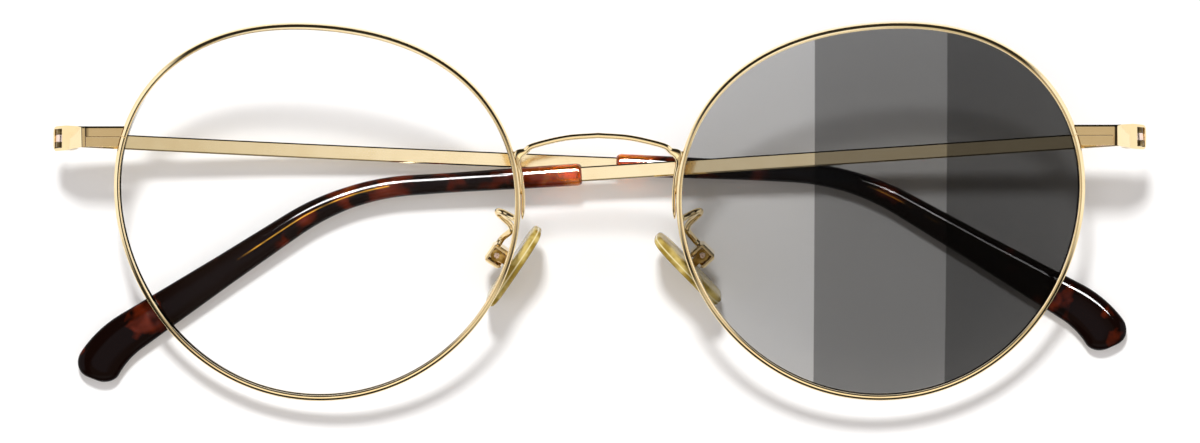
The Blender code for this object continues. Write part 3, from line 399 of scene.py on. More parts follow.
def rounded_polygon(corners, radii, steps):
    """A closed outline whose corners are the curves (1-t)^2 a + 2t(1-t) c + t^2 b.

    a and b lie a radius before and after each corner c."""
    corner = np.asarray(corners, dtype=float)
    radius = np.broadcast_to(np.asarray(radii, dtype=float), (len(corner),))[:, None]
    before = np.roll(corner, 1, axis=0) - corner
    after = np.roll(corner, -1, axis=0) - corner
    start = corner + unit(before) * radius
    end = corner + unit(after) * radius
    t = np.linspace(0, 1, steps)[None, :, None]
    curve = (1 - t) ** 2 * start[:, None] + 2 * t * (1 - t) * corner[:, None]
    curve = curve + t**2 * end[:, None]
    return curve.reshape(-1, 2)


def smoothed(mesh, sharp, merge=False):
    """Turns a mesh's faces outward and smooths it; merge makes its flat faces whole first."""
    work = bmesh.new()
    work.from_mesh(mesh)
    if merge:
        bmesh.ops.remove_doubles(work, verts=work.verts, dist=0.002 * MM)
        bmesh.ops.dissolve_limit(work, angle_limit=1.5 * DEG, verts=work.verts, edges=work.edges)
    bmesh.ops.recalc_face_normals(work, faces=work.faces)
    work.to_mesh(mesh)
    work.free()
    mesh.shade_smooth()
    mesh.set_sharp_from_angle(angle=sharp)
    return mesh


def mesh_of(name, points, faces, coordinates, sharp):
    """A smooth mesh of points and faces, facing outward, with its own UV map.

    Coordinates hold one (u, v) for every corner of every face, in order."""
    mesh = bpy.data.meshes.new(name)
    mesh.from_pydata(points, [], faces)
    layer = mesh.uv_layers.new(name="surface")
    layer.data.foreach_set("uv", np.asarray(coordinates, dtype=np.float32).ravel())
    return smoothed(mesh, sharp)


def run_along(points):
    """Distances run along a row of points."""
    steps = np.linalg.norm(np.diff(points, axis=0), axis=1)
    return np.concatenate(((0.0,), np.cumsum(steps)))


def skin(name, rings, sharp=50 * DEG):
    """A tube through rings of points (rings, points, 3), capped at its ends.

    u is the distance along the tube and v the distance round it, both in metres."""
    rings = np.asarray(rings, dtype=float)
    count, around = rings.shape[:2]
    index = np.arange(count * around).reshape(count, around)
    near, far = index[:-1], index[1:]
    quads = np.stack((near, np.roll(near, -1, 1), np.roll(far, -1, 1), far), axis=-1)
    along = run_along(rings.mean(axis=1))
    widest = rings[np.argmax(np.ptp(rings, axis=1).sum(axis=1))]
    girth = run_along(np.vstack((widest, widest[:1])))
    u, v = np.meshgrid(along[:-1], girth[:-1], indexing="ij")
    u_next, v_next = np.meshgrid(along[1:], girth[1:], indexing="ij")
    spots = np.stack((u, v, u, v_next, u_next, v_next, u_next, v), axis=-1).reshape(-1, 2)
    faces = quads.reshape(-1, 4).tolist() + [index[0].tolist(), index[-1].tolist()]
    ends = [np.tile((along[k], 0.0), (around, 1)) for k in (0, -1)]
    spots = np.vstack((spots, *ends))
    return mesh_of(name, rings.reshape(-1, 3).tolist(), faces, spots, sharp)


def link_object(name, data):
    """Adds an object to the scene for a mesh, a camera or a lamp."""
    thing = bpy.data.objects.new(name, data)
    bpy.context.scene.collection.objects.link(thing)
    return thing


def add_piece(mesh, body, *stands_for, material=None, slot="gold_plate"):
    """Shows a mesh that is already in its place, riding on a body for some CAD nodes.

    It has the mesh's name, and is of gold plate where no other material is given."""
    mesh.materials.clear()
    mesh.materials.append(material or gold())
    piece = link_object(mesh.name, mesh)
    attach(piece, body)
    if stands_for:
        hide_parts(*stands_for)
    return piece


def store(mesh, name, values):
    """Stores a number at each point of a mesh, for a material to read by its name."""
    layer = mesh.attributes.new(name, "FLOAT", "POINT")
    layer.data.foreach_set("value", np.asarray(values, dtype=np.float32).ravel())


def bevel(piece, width, segments=3, angle=40 * DEG):
    """Rounds the sharp edges of a piece."""
    modifier = piece.modifiers.new("rounded edges", "BEVEL")
    modifier.width, modifier.segments = width, segments
    modifier.limit_method, modifier.angle_limit = "ANGLE", angle
    modifier.harden_normals = modifier.use_clamp_overlap = True


def polished_copy(node):
    """A merged copy of a CAD node's mesh with its flat faces whole, named as a finer piece."""
    mesh = frame["nodes"][node].data.copy()
    mesh.name = f"{node}_fine"
    return smoothed(mesh, SHARP_METAL, merge=True)


def add_node(tree, kind, inputs=None, **settings):
    """Adds a node; an input is a plain value, a node's output, or a node for its first output."""
    node = tree.nodes.new("ShaderNode" + kind)
    for key, value in settings.items():
        setattr(node, key, value)
    for key, value in (inputs or {}).items():
        if isinstance(value, bpy.types.Node):
            value = next(output for output in value.outputs if output.enabled)
        if isinstance(value, bpy.types.NodeSocket):
            tree.links.new(value, node.inputs[key])
        else:
            node.inputs[key].default_value = value
    return node


def material_named(name, shader_of, *values):
    """A material that is made once and then found by its name.

    shader_of gives its shader; its first argument adds a node to the material."""
    material = bpy.data.materials.get(name)
    if material is None:
        material = bpy.data.materials.new(name)
        material.use_nodes = True
        material.node_tree.nodes.clear()
        add = partial(add_node, material.node_tree)
        add("OutputMaterial", {"Surface": shader_of(add, *values)})
    return material


def with_alpha(colour):
    """A colour with full alpha."""
    return (*colour, 1.0)


def shade(name):
    """A colour set in the sidebar, with full alpha."""
    return with_alpha(getattr(bpy.context.scene.glasses_colours, name))


def gold_plate(add):
    """Polished gold plate over nickel alloy: a clean mirror with faint hairlines.

    Buffing leaves hairlines a few hundredths of a millimetre wide, drawn here at
    0.12 mm so that they show, and the plate is a little deeper in patches of 3 mm. The
    attribute seam darkens the filed lines with a painted shade."""
    place = add("TexCoord").outputs["Object"]
    patches = add("TexNoise", {"Vector": place, "Scale": 330.0, "Detail": 3.0})
    deep = add("MapRange", {0: patches, 1: 0.42, 2: 0.72, 3: 0.0, 4: 0.2})
    colour = add("Mix", {0: deep, 6: shade("gold"), 7: shade("gold_deep")}, data_type="RGBA")
    # Painted shade in the filed lines, where the attribute seam is 1
    seam = add("Attribute", attribute_name="seam").outputs["Fac"]
    colour = add("Mix", {0: seam, 6: colour, 7: shade("seam")}, data_type="RGBA")
    drawn = add("Mapping", {"Vector": place, "Scale": (0.08, 1.0, 1.0)})
    hairs = add("TexNoise", {"Vector": drawn, "Scale": 8000.0, "Detail": 2.0})
    rough = add("MapRange", {0: hairs, 1: 0.3, 2: 0.7, 3: 0.06, 4: 0.13})
    bump = add("Bump", {"Height": hairs, "Strength": 0.03, "Distance": 0.02 * MM})
    return add("BsdfPrincipled", {
        "Base Color": colour, "Metallic": 1.0, "Roughness": rough, "Normal": bump,
    })


def brass_with_painted_shade(add, dark, worn):
    """Brass darker than the plate, a painted shade for parts in hollows, with rubbed bright patches
    at random.
    """
    place = add("TexCoord").outputs["Object"]
    wear = add("TexNoise", {"Vector": place, "Scale": 900.0, "Detail": 3.0})
    share = add("MapRange", {0: wear, 1: 0.45, 2: 0.7})
    colour = add("Mix", {0: share, 6: shade(dark), 7: shade(worn)}, data_type="RGBA")
    return add("BsdfPrincipled", {
        "Base Color": colour, "Metallic": 1.0, "Roughness": 0.3,
    })


def turned_screw(add):
    """Turned and plated screw metal: duller than the frame, with lathe rings."""
    place = add("TexCoord").outputs["Object"]
    rings = add("TexNoise", {"Vector": place, "Scale": 6000.0, "Detail": 2.0})
    rough = add("MapRange", {0: rings, 1: 0.3, 2: 0.7, 3: 0.16, 4: 0.34})
    return add("BsdfPrincipled", {
        "Base Color": shade("screw"), "Metallic": 1.0, "Roughness": rough,
    })


def resin_lens(add, first, *bands):
    """Clear lens resin with an anti-reflection coat; light passes it twice, front and back.

    Bands are (start in X, colour of one passage): the dye is even between two edges. The
    attribute edge paints shade on the ground rim of the lens, darkest on its temple side."""
    place = add("TexCoord").outputs["Object"]
    across = add("SeparateXYZ", {"Vector": place})
    colour = first
    for start, tint in bands:
        past = add("MapRange", {0: across, 1: start - TINT_BLUR, 2: start + TINT_BLUR})
        colour = add("Mix", {0: past, 6: colour, 7: tint}, data_type="RGBA")
    edge = add("Attribute", attribute_name="edge").outputs["Fac"]
    colour = add("Mix", {0: edge, 6: colour, 7: shade("lens_edge")}, data_type="RGBA")
    clear = add("BsdfTransparent", {"Color": colour})
    gloss = add("BsdfGlossy", {"Roughness": 0.02})
    behind = add("NewGeometry").outputs["Backfacing"]
    density = add("Mix", {0: behind, 2: LENS_COATED_IOR, 3: 1 / LENS_COATED_IOR})
    share = add("Fresnel", {"IOR": density})
    share = add("Math", {0: share, 1: LENS_MOST_GLOSS}, operation="MINIMUM")
    return add("MixShader", {0: share, 1: clear, 2: gloss})


def tortoise_acetate(add):
    """Cast cellulose acetate with dark, red and amber dye clouds, tumbled to a high gloss.

    The dye is thin near the mouth, so light comes through the first few millimetres, and
    a painted highlight of the core wire runs as a bright amber line along the middle where
    the clouds let it."""
    place = add("TexCoord").outputs["Object"]
    warp = add("TexNoise", {"Vector": place, "Scale": 260.0, "Detail": 2.0})
    push = add("VectorMath", {0: warp.outputs["Color"], 3: 0.004}, operation="SCALE")
    moved = add("VectorMath", {0: place, 1: push}, operation="ADD")
    clouds = add("TexNoise", {"Vector": moved, "Scale": 150.0, "Detail": 3.0, "Roughness": 0.55})
    depth = add("Attribute", attribute_name="from_mouth").outputs["Fac"]
    thin = add("MapRange", {0: depth, 1: 0.4 * MM, 2: 10.0 * MM, 3: 0.32, 4: 0.0})
    thick = add("MapRange", {0: depth, 1: 36.0 * MM, 2: 52.0 * MM, 3: 0.0, 4: 0.11})
    dye = add("Math", {0: clouds, 1: thin}, operation="ADD")
    dye = add("Math", {0: dye, 1: thick}, operation="SUBTRACT")
    ramp = add("ValToRGB", {"Fac": dye})
    stops = ramp.color_ramp.elements
    stops[0].position, stops[0].color = 0.50, shade("acetate_dark")
    stops[1].position, stops[1].color = 0.84, shade("acetate_amber")
    stops.new(0.62).color = shade("acetate_red")
    clear = add("MapRange", {0: dye, 1: 0.54, 2: 0.8, 3: 0.0, 4: 0.9})
    # Painted highlight: a bright amber line beside the middle of the face, along the bend, where the
    # clouds let it
    across = add("Attribute", attribute_name="across").outputs["Fac"]
    beside = add("Math", {0: across, 1: 0.10 * MM, 2: 0.06 * MM}, operation="COMPARE")
    bent = add("Math", {0: depth, 1: 36.0 * MM, 2: 11.0 * MM}, operation="COMPARE")
    seen = add("MapRange", {0: clouds, 1: 0.42, 2: 0.56})
    painted_glint = add("Math", {0: beside, 1: bent}, operation="MULTIPLY")
    painted_glint = add("Math", {0: painted_glint, 1: seen}, operation="MULTIPLY")
    colour = add("Mix", {0: painted_glint, 6: ramp, 7: shade("acetate_painted_glint")}, data_type="RGBA")
    passed = add("Math", {0: clear, 1: painted_glint}, operation="SUBTRACT", use_clamp=True)
    return add("BsdfPrincipled", {
        "Base Color": colour, "Roughness": 0.05, "IOR": 1.49, "Specular IOR Level": 0.05,
        "Transmission Weight": passed,
    })


def pad_silicone(add):
    """Moulded silicone, clear when new and yellowed here, with a faint moulding grain.

    The stain is uneven over 2 mm, and a pale band round the edge, where the mould halves meet, is a
    painted highlight."""
    place = add("TexCoord").outputs["Object"]
    grain = add("TexNoise", {"Vector": place, "Scale": 2500.0, "Detail": 2.0})
    rough = add("MapRange", {0: grain, 1: 0.3, 2: 0.7, 3: 0.06, 4: 0.14})
    stain = add("TexNoise", {"Vector": place, "Scale": 500.0, "Detail": 2.0})
    share = add("MapRange", {0: stain, 1: 0.42, 2: 0.62})
    mix = {0: share, 6: shade("silicone_deep"), 7: shade("silicone")}
    colour = add("Mix", mix, data_type="RGBA")
    # Painted highlight: the pale band round the pad's edge
    line = add("Attribute", attribute_name="highlight_band").outputs["Fac"]
    colour = add("Mix", {0: line, 6: colour, 7: shade("silicone_painted_highlight")}, data_type="RGBA")
    return add("BsdfPrincipled", {
        "Base Color": colour, "IOR": 1.41, "Specular IOR Level": 0.06, "Roughness": rough,
        "Transmission Weight": 0.2,
    })


def gold():
    """The plated metal."""
    return material_named("polished gold plate", gold_plate)


def rim_profile():
    """Section (out, forward) of the eyewire: a flat, a polished facet outside it, a groove."""
    s = sizes()
    half, edge = s.rim_depth / 2, 0.22 * MM
    inside, outside = -s.rim_lip, s.rim_out
    facet = outside - np.array((0.42, 0.12)) * MM
    drop = half - np.array((0.09, 0.26, 0.18)) * MM
    corners = (
        (inside, drop[2]), (inside + 0.14 * MM, half), (facet[0], half), (facet[1], drop[0]),
        (outside, drop[1]), (outside, -half + edge), (outside - edge, -half),
        (inside + edge, -half), (inside, -half + edge), (inside, -GROOVE_HALF),
        (GROOVE_FLOOR, 0.0), (inside, GROOVE_HALF),
    )
    radii = np.array(
        (0.03, 0.04, 0.04, 0.04, 0.06, 0.1, 0.07, 0.05, 0.03, 0.03, 0.02, 0.03)
    ) * MM
    return rounded_polygon(corners, radii, 6)


def build_rim(side):
    """Eyewire: the section carried round the lens outline, split at the end piece."""
    s = sizes()
    seam = angle_at_height(STRIP_UP)
    trim = RIM_SPLIT / s.lens_width
    angle = np.linspace(seam + trim, seam + 2 * math.pi - trim, 361)
    profile = rim_profile()
    lines = [on_front(side, outline(angle, out), forward) for out, forward in profile]
    mesh = skin(f"eyewire_{side}", carry(front_frame(), np.stack(lines, axis=1)))
    add_piece(mesh, "front", f"rim_{side}")


def build_lens(side):
    """Lens: rings of the outline at shares of its size, front face, bevel and back face."""
    half = LENS_THICKNESS / 2
    angle = np.linspace(0, 2 * math.pi, 240, endpoint=False)
    shoulder, tip = outline(angle, -LENS_SHOULDER), outline(angle, -GROOVE_FLOOR)
    inner = outline(angle, EDGE_OFFSETS[-1])
    shares = np.linspace(0.02, 1.0, 26)[:-1]
    flat = [inner * share for share in shares] + [outline(angle, o) for o in EDGE_OFFSETS[::-1]]
    rings = [on_front(side, ring, half) for ring in flat]
    rings += [on_front(side, shoulder, LENS_BEVEL), on_front(side, tip, 0.0)]
    rings += [on_front(side, shoulder, -LENS_BEVEL)]
    rings += [on_front(side, ring, -half) for ring in flat[::-1]]
    mesh = skin(f"resin_lens_{side}", carry(front_frame(), np.stack(rings)), sharp=30 * DEG)
    # Painted shade round the lens's edge: darkest on the temple side, a little below the middle,
    # none by the nose
    shades = np.concatenate((
        np.zeros(len(shares)), EDGE_SHADES[::-1], (1.0, 1.0, 1.0), np.zeros(len(flat))
    ))
    toward = np.clip((np.cos(angle + EDGE_TURN) - 0.6) / 0.3, 0, 1)
    store(mesh, "edge", np.outer(shades, toward))
    if side == "left":
        name, slot, first = "grey banded resin", "grey_lens", shade("tint_nose")
        bands = tuple(zip(TINT_EDGES, (shade("tint_middle"), shade("tint_temple"))))
    else:
        name, slot, first, bands = "clear resin", "clear_lens", CLEAR_TINT, ()
    material = material_named(name, resin_lens, first, *bands)
    piece = add_piece(mesh, "front", f"lens_{side}", material=material, slot=slot)
    piece.visible_shadow = False
    piece.visible_glossy = False


def smooth_route(points, steps):
    """Points of a Catmull-Rom curve through the given points, with steps for each span."""
    points = np.asarray(points, dtype=float)
    ends = np.vstack((2 * points[0] - points[1], points, 2 * points[-1] - points[-2]))
    a, b, c, d = (ends[i:i + len(points) - 1, None] for i in range(4))
    t = np.linspace(0, 1, steps, endpoint=False)[None, :, None]
    curve = 0.5 * (2 * b + (c - a) * t + (2 * a - 5 * b + 4 * c - d) * t**2
                   + (3 * b - a - 3 * c + d) * t**3)
    return np.vstack((curve.reshape(-1, 3), points[-1:]))


def sweep(path, flats, aside):
    """Sections (rings, points, 2) stood on a path: the first axis across, the second deep.

    Across is the direction aside crossed with the path's tangent, deep is square to both."""
    tangent = unit(np.gradient(path, axis=0))
    across = unit(np.cross(aside, tangent))
    deep = np.cross(tangent, across)
    return path[:, None] + flats[..., :1] * across[:, None] + flats[..., 1:] * deep[:, None]


def ellipse(height, depth, count):
    """Points of an ellipse for each pair of height and depth."""
    turn = np.linspace(0, 2 * math.pi, count, endpoint=False)
    return np.stack((
        np.outer(np.atleast_1d(height) / 2, np.cos(turn)),
        np.outer(np.atleast_1d(depth) / 2, np.sin(turn)),
    ), axis=-1)


def solder(name, path, high, deep):
    """A bead of solder along a path, an ellipse that swells from nothing and dies away."""
    share = np.linspace(0, 1, len(path))
    swell = np.sqrt(np.clip(1 - (2 * share - 1) ** 2, 0.03, 1))
    rings = sweep(path, ellipse(high * swell, deep * swell, 20), FORWARD)
    add_piece(skin(name, carry(front_frame(), rings)), "front")


def build_bridge():
    """Arched wire with a flat along its top edge, thinner where its feet lie on the rims.

    It is wider by BRIDGE_FLARE where it turns down to a rim, as a bell curve along its run."""
    s = sizes()
    seat = s.rim_out + SEAT_GAP + BRIDGE_FOOT / 2
    heights = np.linspace(BRIDGE_FOOT_END, BRIDGE_FOOT_TOP, 4)
    foot = [on_front("right", outline(angle_at_height(h, False), seat), 0.0)[0] for h in heights]
    shoulder, crown = np.array((BRIDGE_SHOULDER, BRIDGE_CROWN)) + (0.0, 0.0, foot[-1][2])
    corner = (foot[-1] + shoulder) / 2 + BRIDGE_CORNER_UP
    quarter = shoulder + (crown - shoulder) * BRIDGE_QUARTER
    half = smooth_route(foot + [corner, shoulder, quarter, crown], 16)
    path = np.vstack((half, half[-2::-1] * np.array((-1.0, 1.0, 1.0))))
    run = run_along(path)
    from_end = np.minimum(run, run[-1] - run)
    past_foot = from_end - (BRIDGE_FOOT_TOP - BRIDGE_FOOT_END)
    grown = np.clip(past_foot / BRIDGE_SWELL + BRIDGE_GROWN, 0, 1)
    flare = BRIDGE_FLARE * np.exp(-(((past_foot - FLARE_PLACE) / FLARE_WIDTH) ** 2))
    height = (BRIDGE_FOOT + (s.bridge_height - BRIDGE_FOOT) * grown) * (1 + flare)
    depth = s.bridge_depth * (BRIDGE_THINNEST + (1 - BRIDGE_THINNEST) * grown)
    close = np.sqrt(np.clip(1 - (1 - np.clip(from_end / BRIDGE_CLOSE, 0, 1)) ** 2, 0.03, 1))
    size = np.stack((height * close, depth * close), axis=-1)
    rings = sweep(path, rounded_polygon(BRIDGE_SECTION, 0.09, 4) * size[:, None], FORWARD)
    add_piece(skin("bridge_wire", carry(front_frame(), rings), sharp=80 * DEG), "front", "bridge")
    heights = np.linspace(*BRIDGE_SOLDER, 28)
    for side in SIDES:
        seat = outline(angle_at_height(heights, False), s.rim_out + 0.06 * MM)
        bead = on_front(side, seat, 0.12 * MM)
        solder(f"bridge_solder_{side}", bead, *BRIDGE_BEAD)


def strip_top(side):
    """Forward place of the end piece's outer face, just behind the rim's front face."""
    s = sizes()
    seat = outline(angle_at_height(STRIP_UP), s.rim_out)
    return float(on_front(side, seat, s.rim_depth / 2 - STRIP_SET_BACK)[0][2])


def strip_place(side, length, up, depth):
    """Points of the bent strip at lengths past its corner, heights and depths.

    The face runs on straight to length 0 and then follows an arc whose slope grows evenly;
    up turns from the front's own up to the table's within TWIST_LENGTH."""
    inverse = np.array(front_frame().to_3x3().inverted())
    up_tail, back_tail = inverse @ (0, 1, 0), inverse @ (0, 0, -1)
    start = sizes().lens_width / 2 + STRIP_REACH
    turn = TAIL_SLOPE[1] - TAIL_SLOPE[0]
    slope = TAIL_SLOPE[0] + turn * np.clip(length, 0, None) / TAIL_LENGTH
    radius = TAIL_LENGTH / turn
    outward = start + radius * (np.sin(slope) - math.sin(TAIL_SLOPE[0])) + np.clip(length, None, 0)
    back = radius * (math.cos(TAIL_SLOPE[0]) - np.cos(slope))
    turned = np.clip(length / TWIST_LENGTH, 0, 1)[..., None]
    rise = unit(np.array((0, 1, 0)) * (1 - turned) + up_tail * turned)
    behind = unit(np.array((0, 0, -1)) * (1 - turned) + back_tail * turned)
    across = np.array((SIDES[side], 0, 0))
    slope = slope[..., None] * turned
    under = behind * np.cos(slope) - across * np.sin(slope)
    place = across * (lens_centre() + outward)[..., None] + np.array((0, STRIP_UP, strip_top(side)))
    place = place + back_tail * back[..., None]
    return place + rise * up[..., None] + under * depth[..., None]


def plate(name, front_points, back_points, keep, line_shade):
    """A sheet with holes: two grids of points and the cells that are kept, walled between.

    Line shade says how dark the painted shade on the lines of its front face is at each point."""
    rows, columns = front_points.shape[:2]
    index = np.arange(rows * columns).reshape(rows, columns)
    cells = np.stack((index[:-1, :-1], index[1:, :-1], index[1:, 1:], index[:-1, 1:]), axis=-1)
    cells = cells[keep]
    shift = rows * columns
    edges = np.stack((cells, np.roll(cells, -1, axis=1)), axis=-1).reshape(-1, 2)
    both = np.sort(edges, axis=1)
    code = both[:, 0] * shift + both[:, 1]
    _, first, count = np.unique(code, return_index=True, return_counts=True)
    rim = edges[first[count == 1]]
    walls = np.stack((rim[:, 0], rim[:, 1], rim[:, 1] + shift, rim[:, 0] + shift), axis=1)
    faces = np.vstack((cells, cells[:, ::-1] + shift, walls))
    points = np.vstack((front_points.reshape(-1, 3), back_points.reshape(-1, 3)))
    points = carry(front_frame(), points)
    used, faces = np.unique(faces, return_inverse=True)
    faces = faces.reshape(-1, 4)
    spots = points[used][faces.ravel()][:, :2]
    mesh = mesh_of(name, points[used].tolist(), faces.tolist(), spots, 40 * DEG)
    store(mesh, "seam", np.concatenate((line_shade.ravel(), np.zeros(shift)))[used])
    return mesh


def rim_edge(side, height):
    """Length past the strip's corner at which the strip meets the rim, at some heights."""
    s = sizes()
    angle = angle_at_height(STRIP_UP + height)
    seat = outline(angle, s.rim_out + SEAT_GAP)[..., 0]
    return seat - (s.lens_width / 2 + STRIP_REACH)


def fine_lines(side, length):
    """Filed lines across the block's outer end, as shares from 0 to 1 of their depth.

    Two lines 0.1 mm wide on the right, and on the left one 0.35 mm wide."""
    lines = ((place * MM, width * MM) for place, width in FINE_LINES[side])
    return sum(np.exp(-(((length - place) / width) ** 4)) for place, width in lines)


def fit_to_rim(side, length, up):
    """Lengths of a block's points, moved near its inner end so that it follows the rim."""
    start = rim_edge(side, 0.0)
    blend = np.clip((-LOCK_END_GAP - length) / (-LOCK_END_GAP - start), 0, 1)
    return length + (rim_edge(side, up) - start) * blend


def build_end_piece(side):
    """Upper block, tail and hinge window as one plate, and the lower block beside it."""
    lock_end = -LOCK_END_GAP
    middle = TAIL_LENGTH - HINGE_FROM_END
    window = (middle - WINDOW[0], middle + WINDOW[0])
    flat_start = float(rim_edge(side, 0.0)[0])
    stops = (flat_start, lock_end + SEAM_GAP, LINES_END, *window, TAIL_LENGTH)
    parts = [np.linspace(*span) for span in zip(stops, stops[1:], (10, 40, 12, 8, 7))]
    run = np.concatenate((parts[0], *(part[1:] for part in parts[1:])))
    share = np.clip(run / (0.5 * TAIL_LENGTH), 0, 1)
    half = (STRIP_HEIGHT + (TAIL_HEIGHT - STRIP_HEIGHT) * share) / 2
    past = np.clip(run - TAIL_LENGTH + TAIL_CORNER, 0, TAIL_CORNER)
    half = half - TAIL_CORNER + np.sqrt(TAIL_CORNER**2 - past**2)
    inner = np.array((-1.0, -0.5, 0.0)) * (WINDOW[1] - SEAM_GAP / 2) - SEAM_GAP / 2
    inner = np.concatenate((inner[:2], (-SEAM_GAP / 2, SEAM_GAP / 2), -inner[1::-1]))
    facet = 1 - np.clip(run / FACET_LENGTH, 0, 1)[:, None]
    top = half[:, None]
    below_top = top - 0.02 * MM - STRIP_EDGE[0] * facet
    narrow = np.clip((below_top - 0.09 * MM) / WINDOW[1], 0, 1)
    up = np.concatenate((-top, inner * narrow, below_top, top), axis=1)
    length = fit_to_rim(side, np.broadcast_to(run[:, None], up.shape), up)
    thin = np.clip(run / (0.16 * TAIL_LENGTH), 0, 1)[:, None]
    relief = TAIL_RELIEF * (run > window[1] - 0.01 * MM)[:, None]
    thickness = STRIP_THICKNESS + (TAIL_THICKNESS - STRIP_THICKNESS) * thin - relief
    # The filed lines are cut into the face and also darkened with a painted shade
    lines = fine_lines(side, length)
    drop = np.zeros(up.shape)
    drop[:, -1:] = STRIP_EDGE[1] * facet
    front_points = strip_place(side, length, up, LINE_DEPTH * lines + drop)
    behind = up.copy()
    behind[:, -2:] -= STRIP_DRAFT * facet
    back_points = strip_place(side, length, behind, np.broadcast_to(thickness, up.shape))
    keep = np.ones((len(run) - 1, up.shape[1] - 1), dtype=bool)
    centre = (run[1:] + run[:-1]) / 2
    keep[centre < lock_end + SEAM_GAP, :4] = False
    inside = (centre > window[0]) & (centre < window[1])
    keep[np.ix_(inside, (False, True, True, True, True, True, False, False))] = False
    block = plate(f"end_block_{side}", front_points, back_points, keep, lines)
    bevel(add_piece(block, "front", f"end_piece_{side}"), BLOCK_ROUND, 3, 50 * DEG)

    along, rise = np.linspace(flat_start, lock_end, 10), np.linspace(-STRIP_HEIGHT, -SEAM_GAP, 6) / 2
    length, up = np.meshgrid(along, rise, indexing="ij")
    length, flat = fit_to_rim(side, length, up), np.zeros(up.shape)
    front_points = strip_place(side, length, up, flat)
    back_points = strip_place(side, length, up, flat + STRIP_THICKNESS)
    keep = np.ones((len(along) - 1, len(rise) - 1), dtype=bool)
    block = plate(f"lock_block_{side}", front_points, back_points, keep, flat)
    bevel(add_piece(block, "front", f"rim_lock_{side}"), LOCK_ROUND)


def round_box(mesh, place):
    """Widens the chamfers of a pad box's four long outer edges to BOX_CORNER."""
    mesh.transform(place.inverted())
    points = np.empty(len(mesh.vertices) * 3)
    mesh.vertices.foreach_get("co", points)
    points = points.reshape(-1, 3)
    half = np.array(BOX_SIZE[:2]) / 2
    for axis in (0, 1):
        inset = half[axis] - BOX_CHAMFER
        outer = np.abs(points[:, 1 - axis]) > half[1 - axis] - 0.05 * MM
        corner = outer & (np.abs(np.abs(points[:, axis]) - inset) < 0.05 * MM)
        points[corner, axis] *= (half[axis] - BOX_CORNER) / inset
    mesh.vertices.foreach_set("co", points.ravel())
    mesh.transform(place)
    mesh.set_sharp_from_angle(angle=SHARP_METAL)


def build_small_metal(side):
    """Hinge leaves, knuckles, screws, pad boxes and pad cores with their edges rounded."""
    # Hinge leaves and pad cores sit in hollows; their darker brass is painted shade
    hinge = material_named("hinge brass with painted shade", brass_with_painted_shade, "brass_dark", "brass_worn")
    core = material_named("core brass with painted shade", brass_with_painted_shade, "core_dark", "core_worn")
    screw = material_named("turned plated screw", turned_screw)
    place = pad_frame(side)
    for kind, body, width, material, slot in (
        ("front_hinge", "front", 0.05, hinge, "gold_plate"),
        ("temple_hinge", f"temple_{side}", 0.05, screw, "gold_plate"),
        ("hinge_screw", "front", 0.03, screw, "gold_screw"),
        ("rim_screw", "front", 0.03, screw, "gold_screw"),
        ("pad_screw", "front", 0.03, screw, "gold_screw"),
        ("pad_box", "front", 0.30, gold(), "gold_plate"),
        ("pad_core", f"pad_{side}", 0.05, core, "gold_plate"),
    ):
        node = f"{kind}_{side}"
        mesh = polished_copy(node)
        if kind == "pad_screw":
            narrow = Matrix.Diagonal((SCREW_SHARE, SCREW_SHARE, 1, 1))
            mesh.transform(place @ narrow @ place.inverted())
        if kind == "pad_box":
            round_box(mesh, place)
        piece = add_piece(mesh, body, node, material=material, slot=slot)
        bevel(piece, width * MM, 2, SHARP_METAL)


def temple_path(side):
    """Middle line of a temple from its hinge, with the directions up and inward.

    It bows inward evenly as far as the sleeve, then runs straight, bends down over the
    ear, runs straight and hooks down at its end. The place is the sum of the steps."""
    bend = BEND_ANGLE[side]
    bend_start = BEND_POINT - BEND_RADIUS * math.tan(bend / 2)
    bend_end = bend_start + BEND_RADIUS * bend
    hook_start = bend_end + STRAIGHT_TIP
    total = hook_start + HOOK_RADIUS * HOOK_ANGLE
    run = np.linspace(0, total, 1401)
    bow = BOW[side] * np.clip(run / BAR_LENGTH, 0, 1)
    drop = bend * np.clip((run - bend_start) / (bend_end - bend_start), 0, 1)
    drop = drop + HOOK_ANGLE * np.clip((run - hook_start) / (total - hook_start), 0, 1)
    ahead = np.stack((np.cos(bow), np.zeros_like(bow), np.sin(bow)), axis=1)
    upward = np.array((0.0, 1.0, 0.0))
    along = ahead * np.cos(drop)[:, None] - upward * np.sin(drop)[:, None]
    up = ahead * np.sin(drop)[:, None] + upward * np.cos(drop)[:, None]
    inward = np.stack((-np.sin(bow), np.zeros_like(bow), np.cos(bow)), axis=1)
    middle = (along[1:] + along[:-1]) / 2 * (run[1] - run[0])
    place = np.vstack(((0.0, 0.0, 0.0), np.cumsum(middle, axis=0)))
    place[:, 2] -= BAR_OFFSET
    return run, place, up, inward


def along_temple(side, lengths, flats):
    """Sections (rings, points, 2) as (up, inward), stood on a temple at some lengths."""
    run, place, up, inward = temple_path(side)
    here, rise, inner = (
        np.stack([np.interp(lengths, run, values[:, k]) for k in range(3)], axis=1)
        for values in (place, up, inward)
    )
    rings = here[:, None] + flats[..., :1] * rise[:, None] + flats[..., 1:] * inner[:, None]
    rings[..., 0] *= -SIDES[side]
    return carry(temple_frame(side), rings)


def pillow(height, thickness, count=48):
    """Points of the curve |up|^n + |inward|^n = 1 with n SLEEVE_POWER, for each pair."""
    turn = np.linspace(0, 2 * math.pi, count, endpoint=False)
    wave = np.stack((np.cos(turn), np.sin(turn)), axis=-1)
    unit = np.sign(wave) * np.abs(wave) ** (2 / SLEEVE_POWER)
    half = np.stack(np.broadcast_arrays(height, thickness), axis=-1) / 2
    return half[:, None] * unit


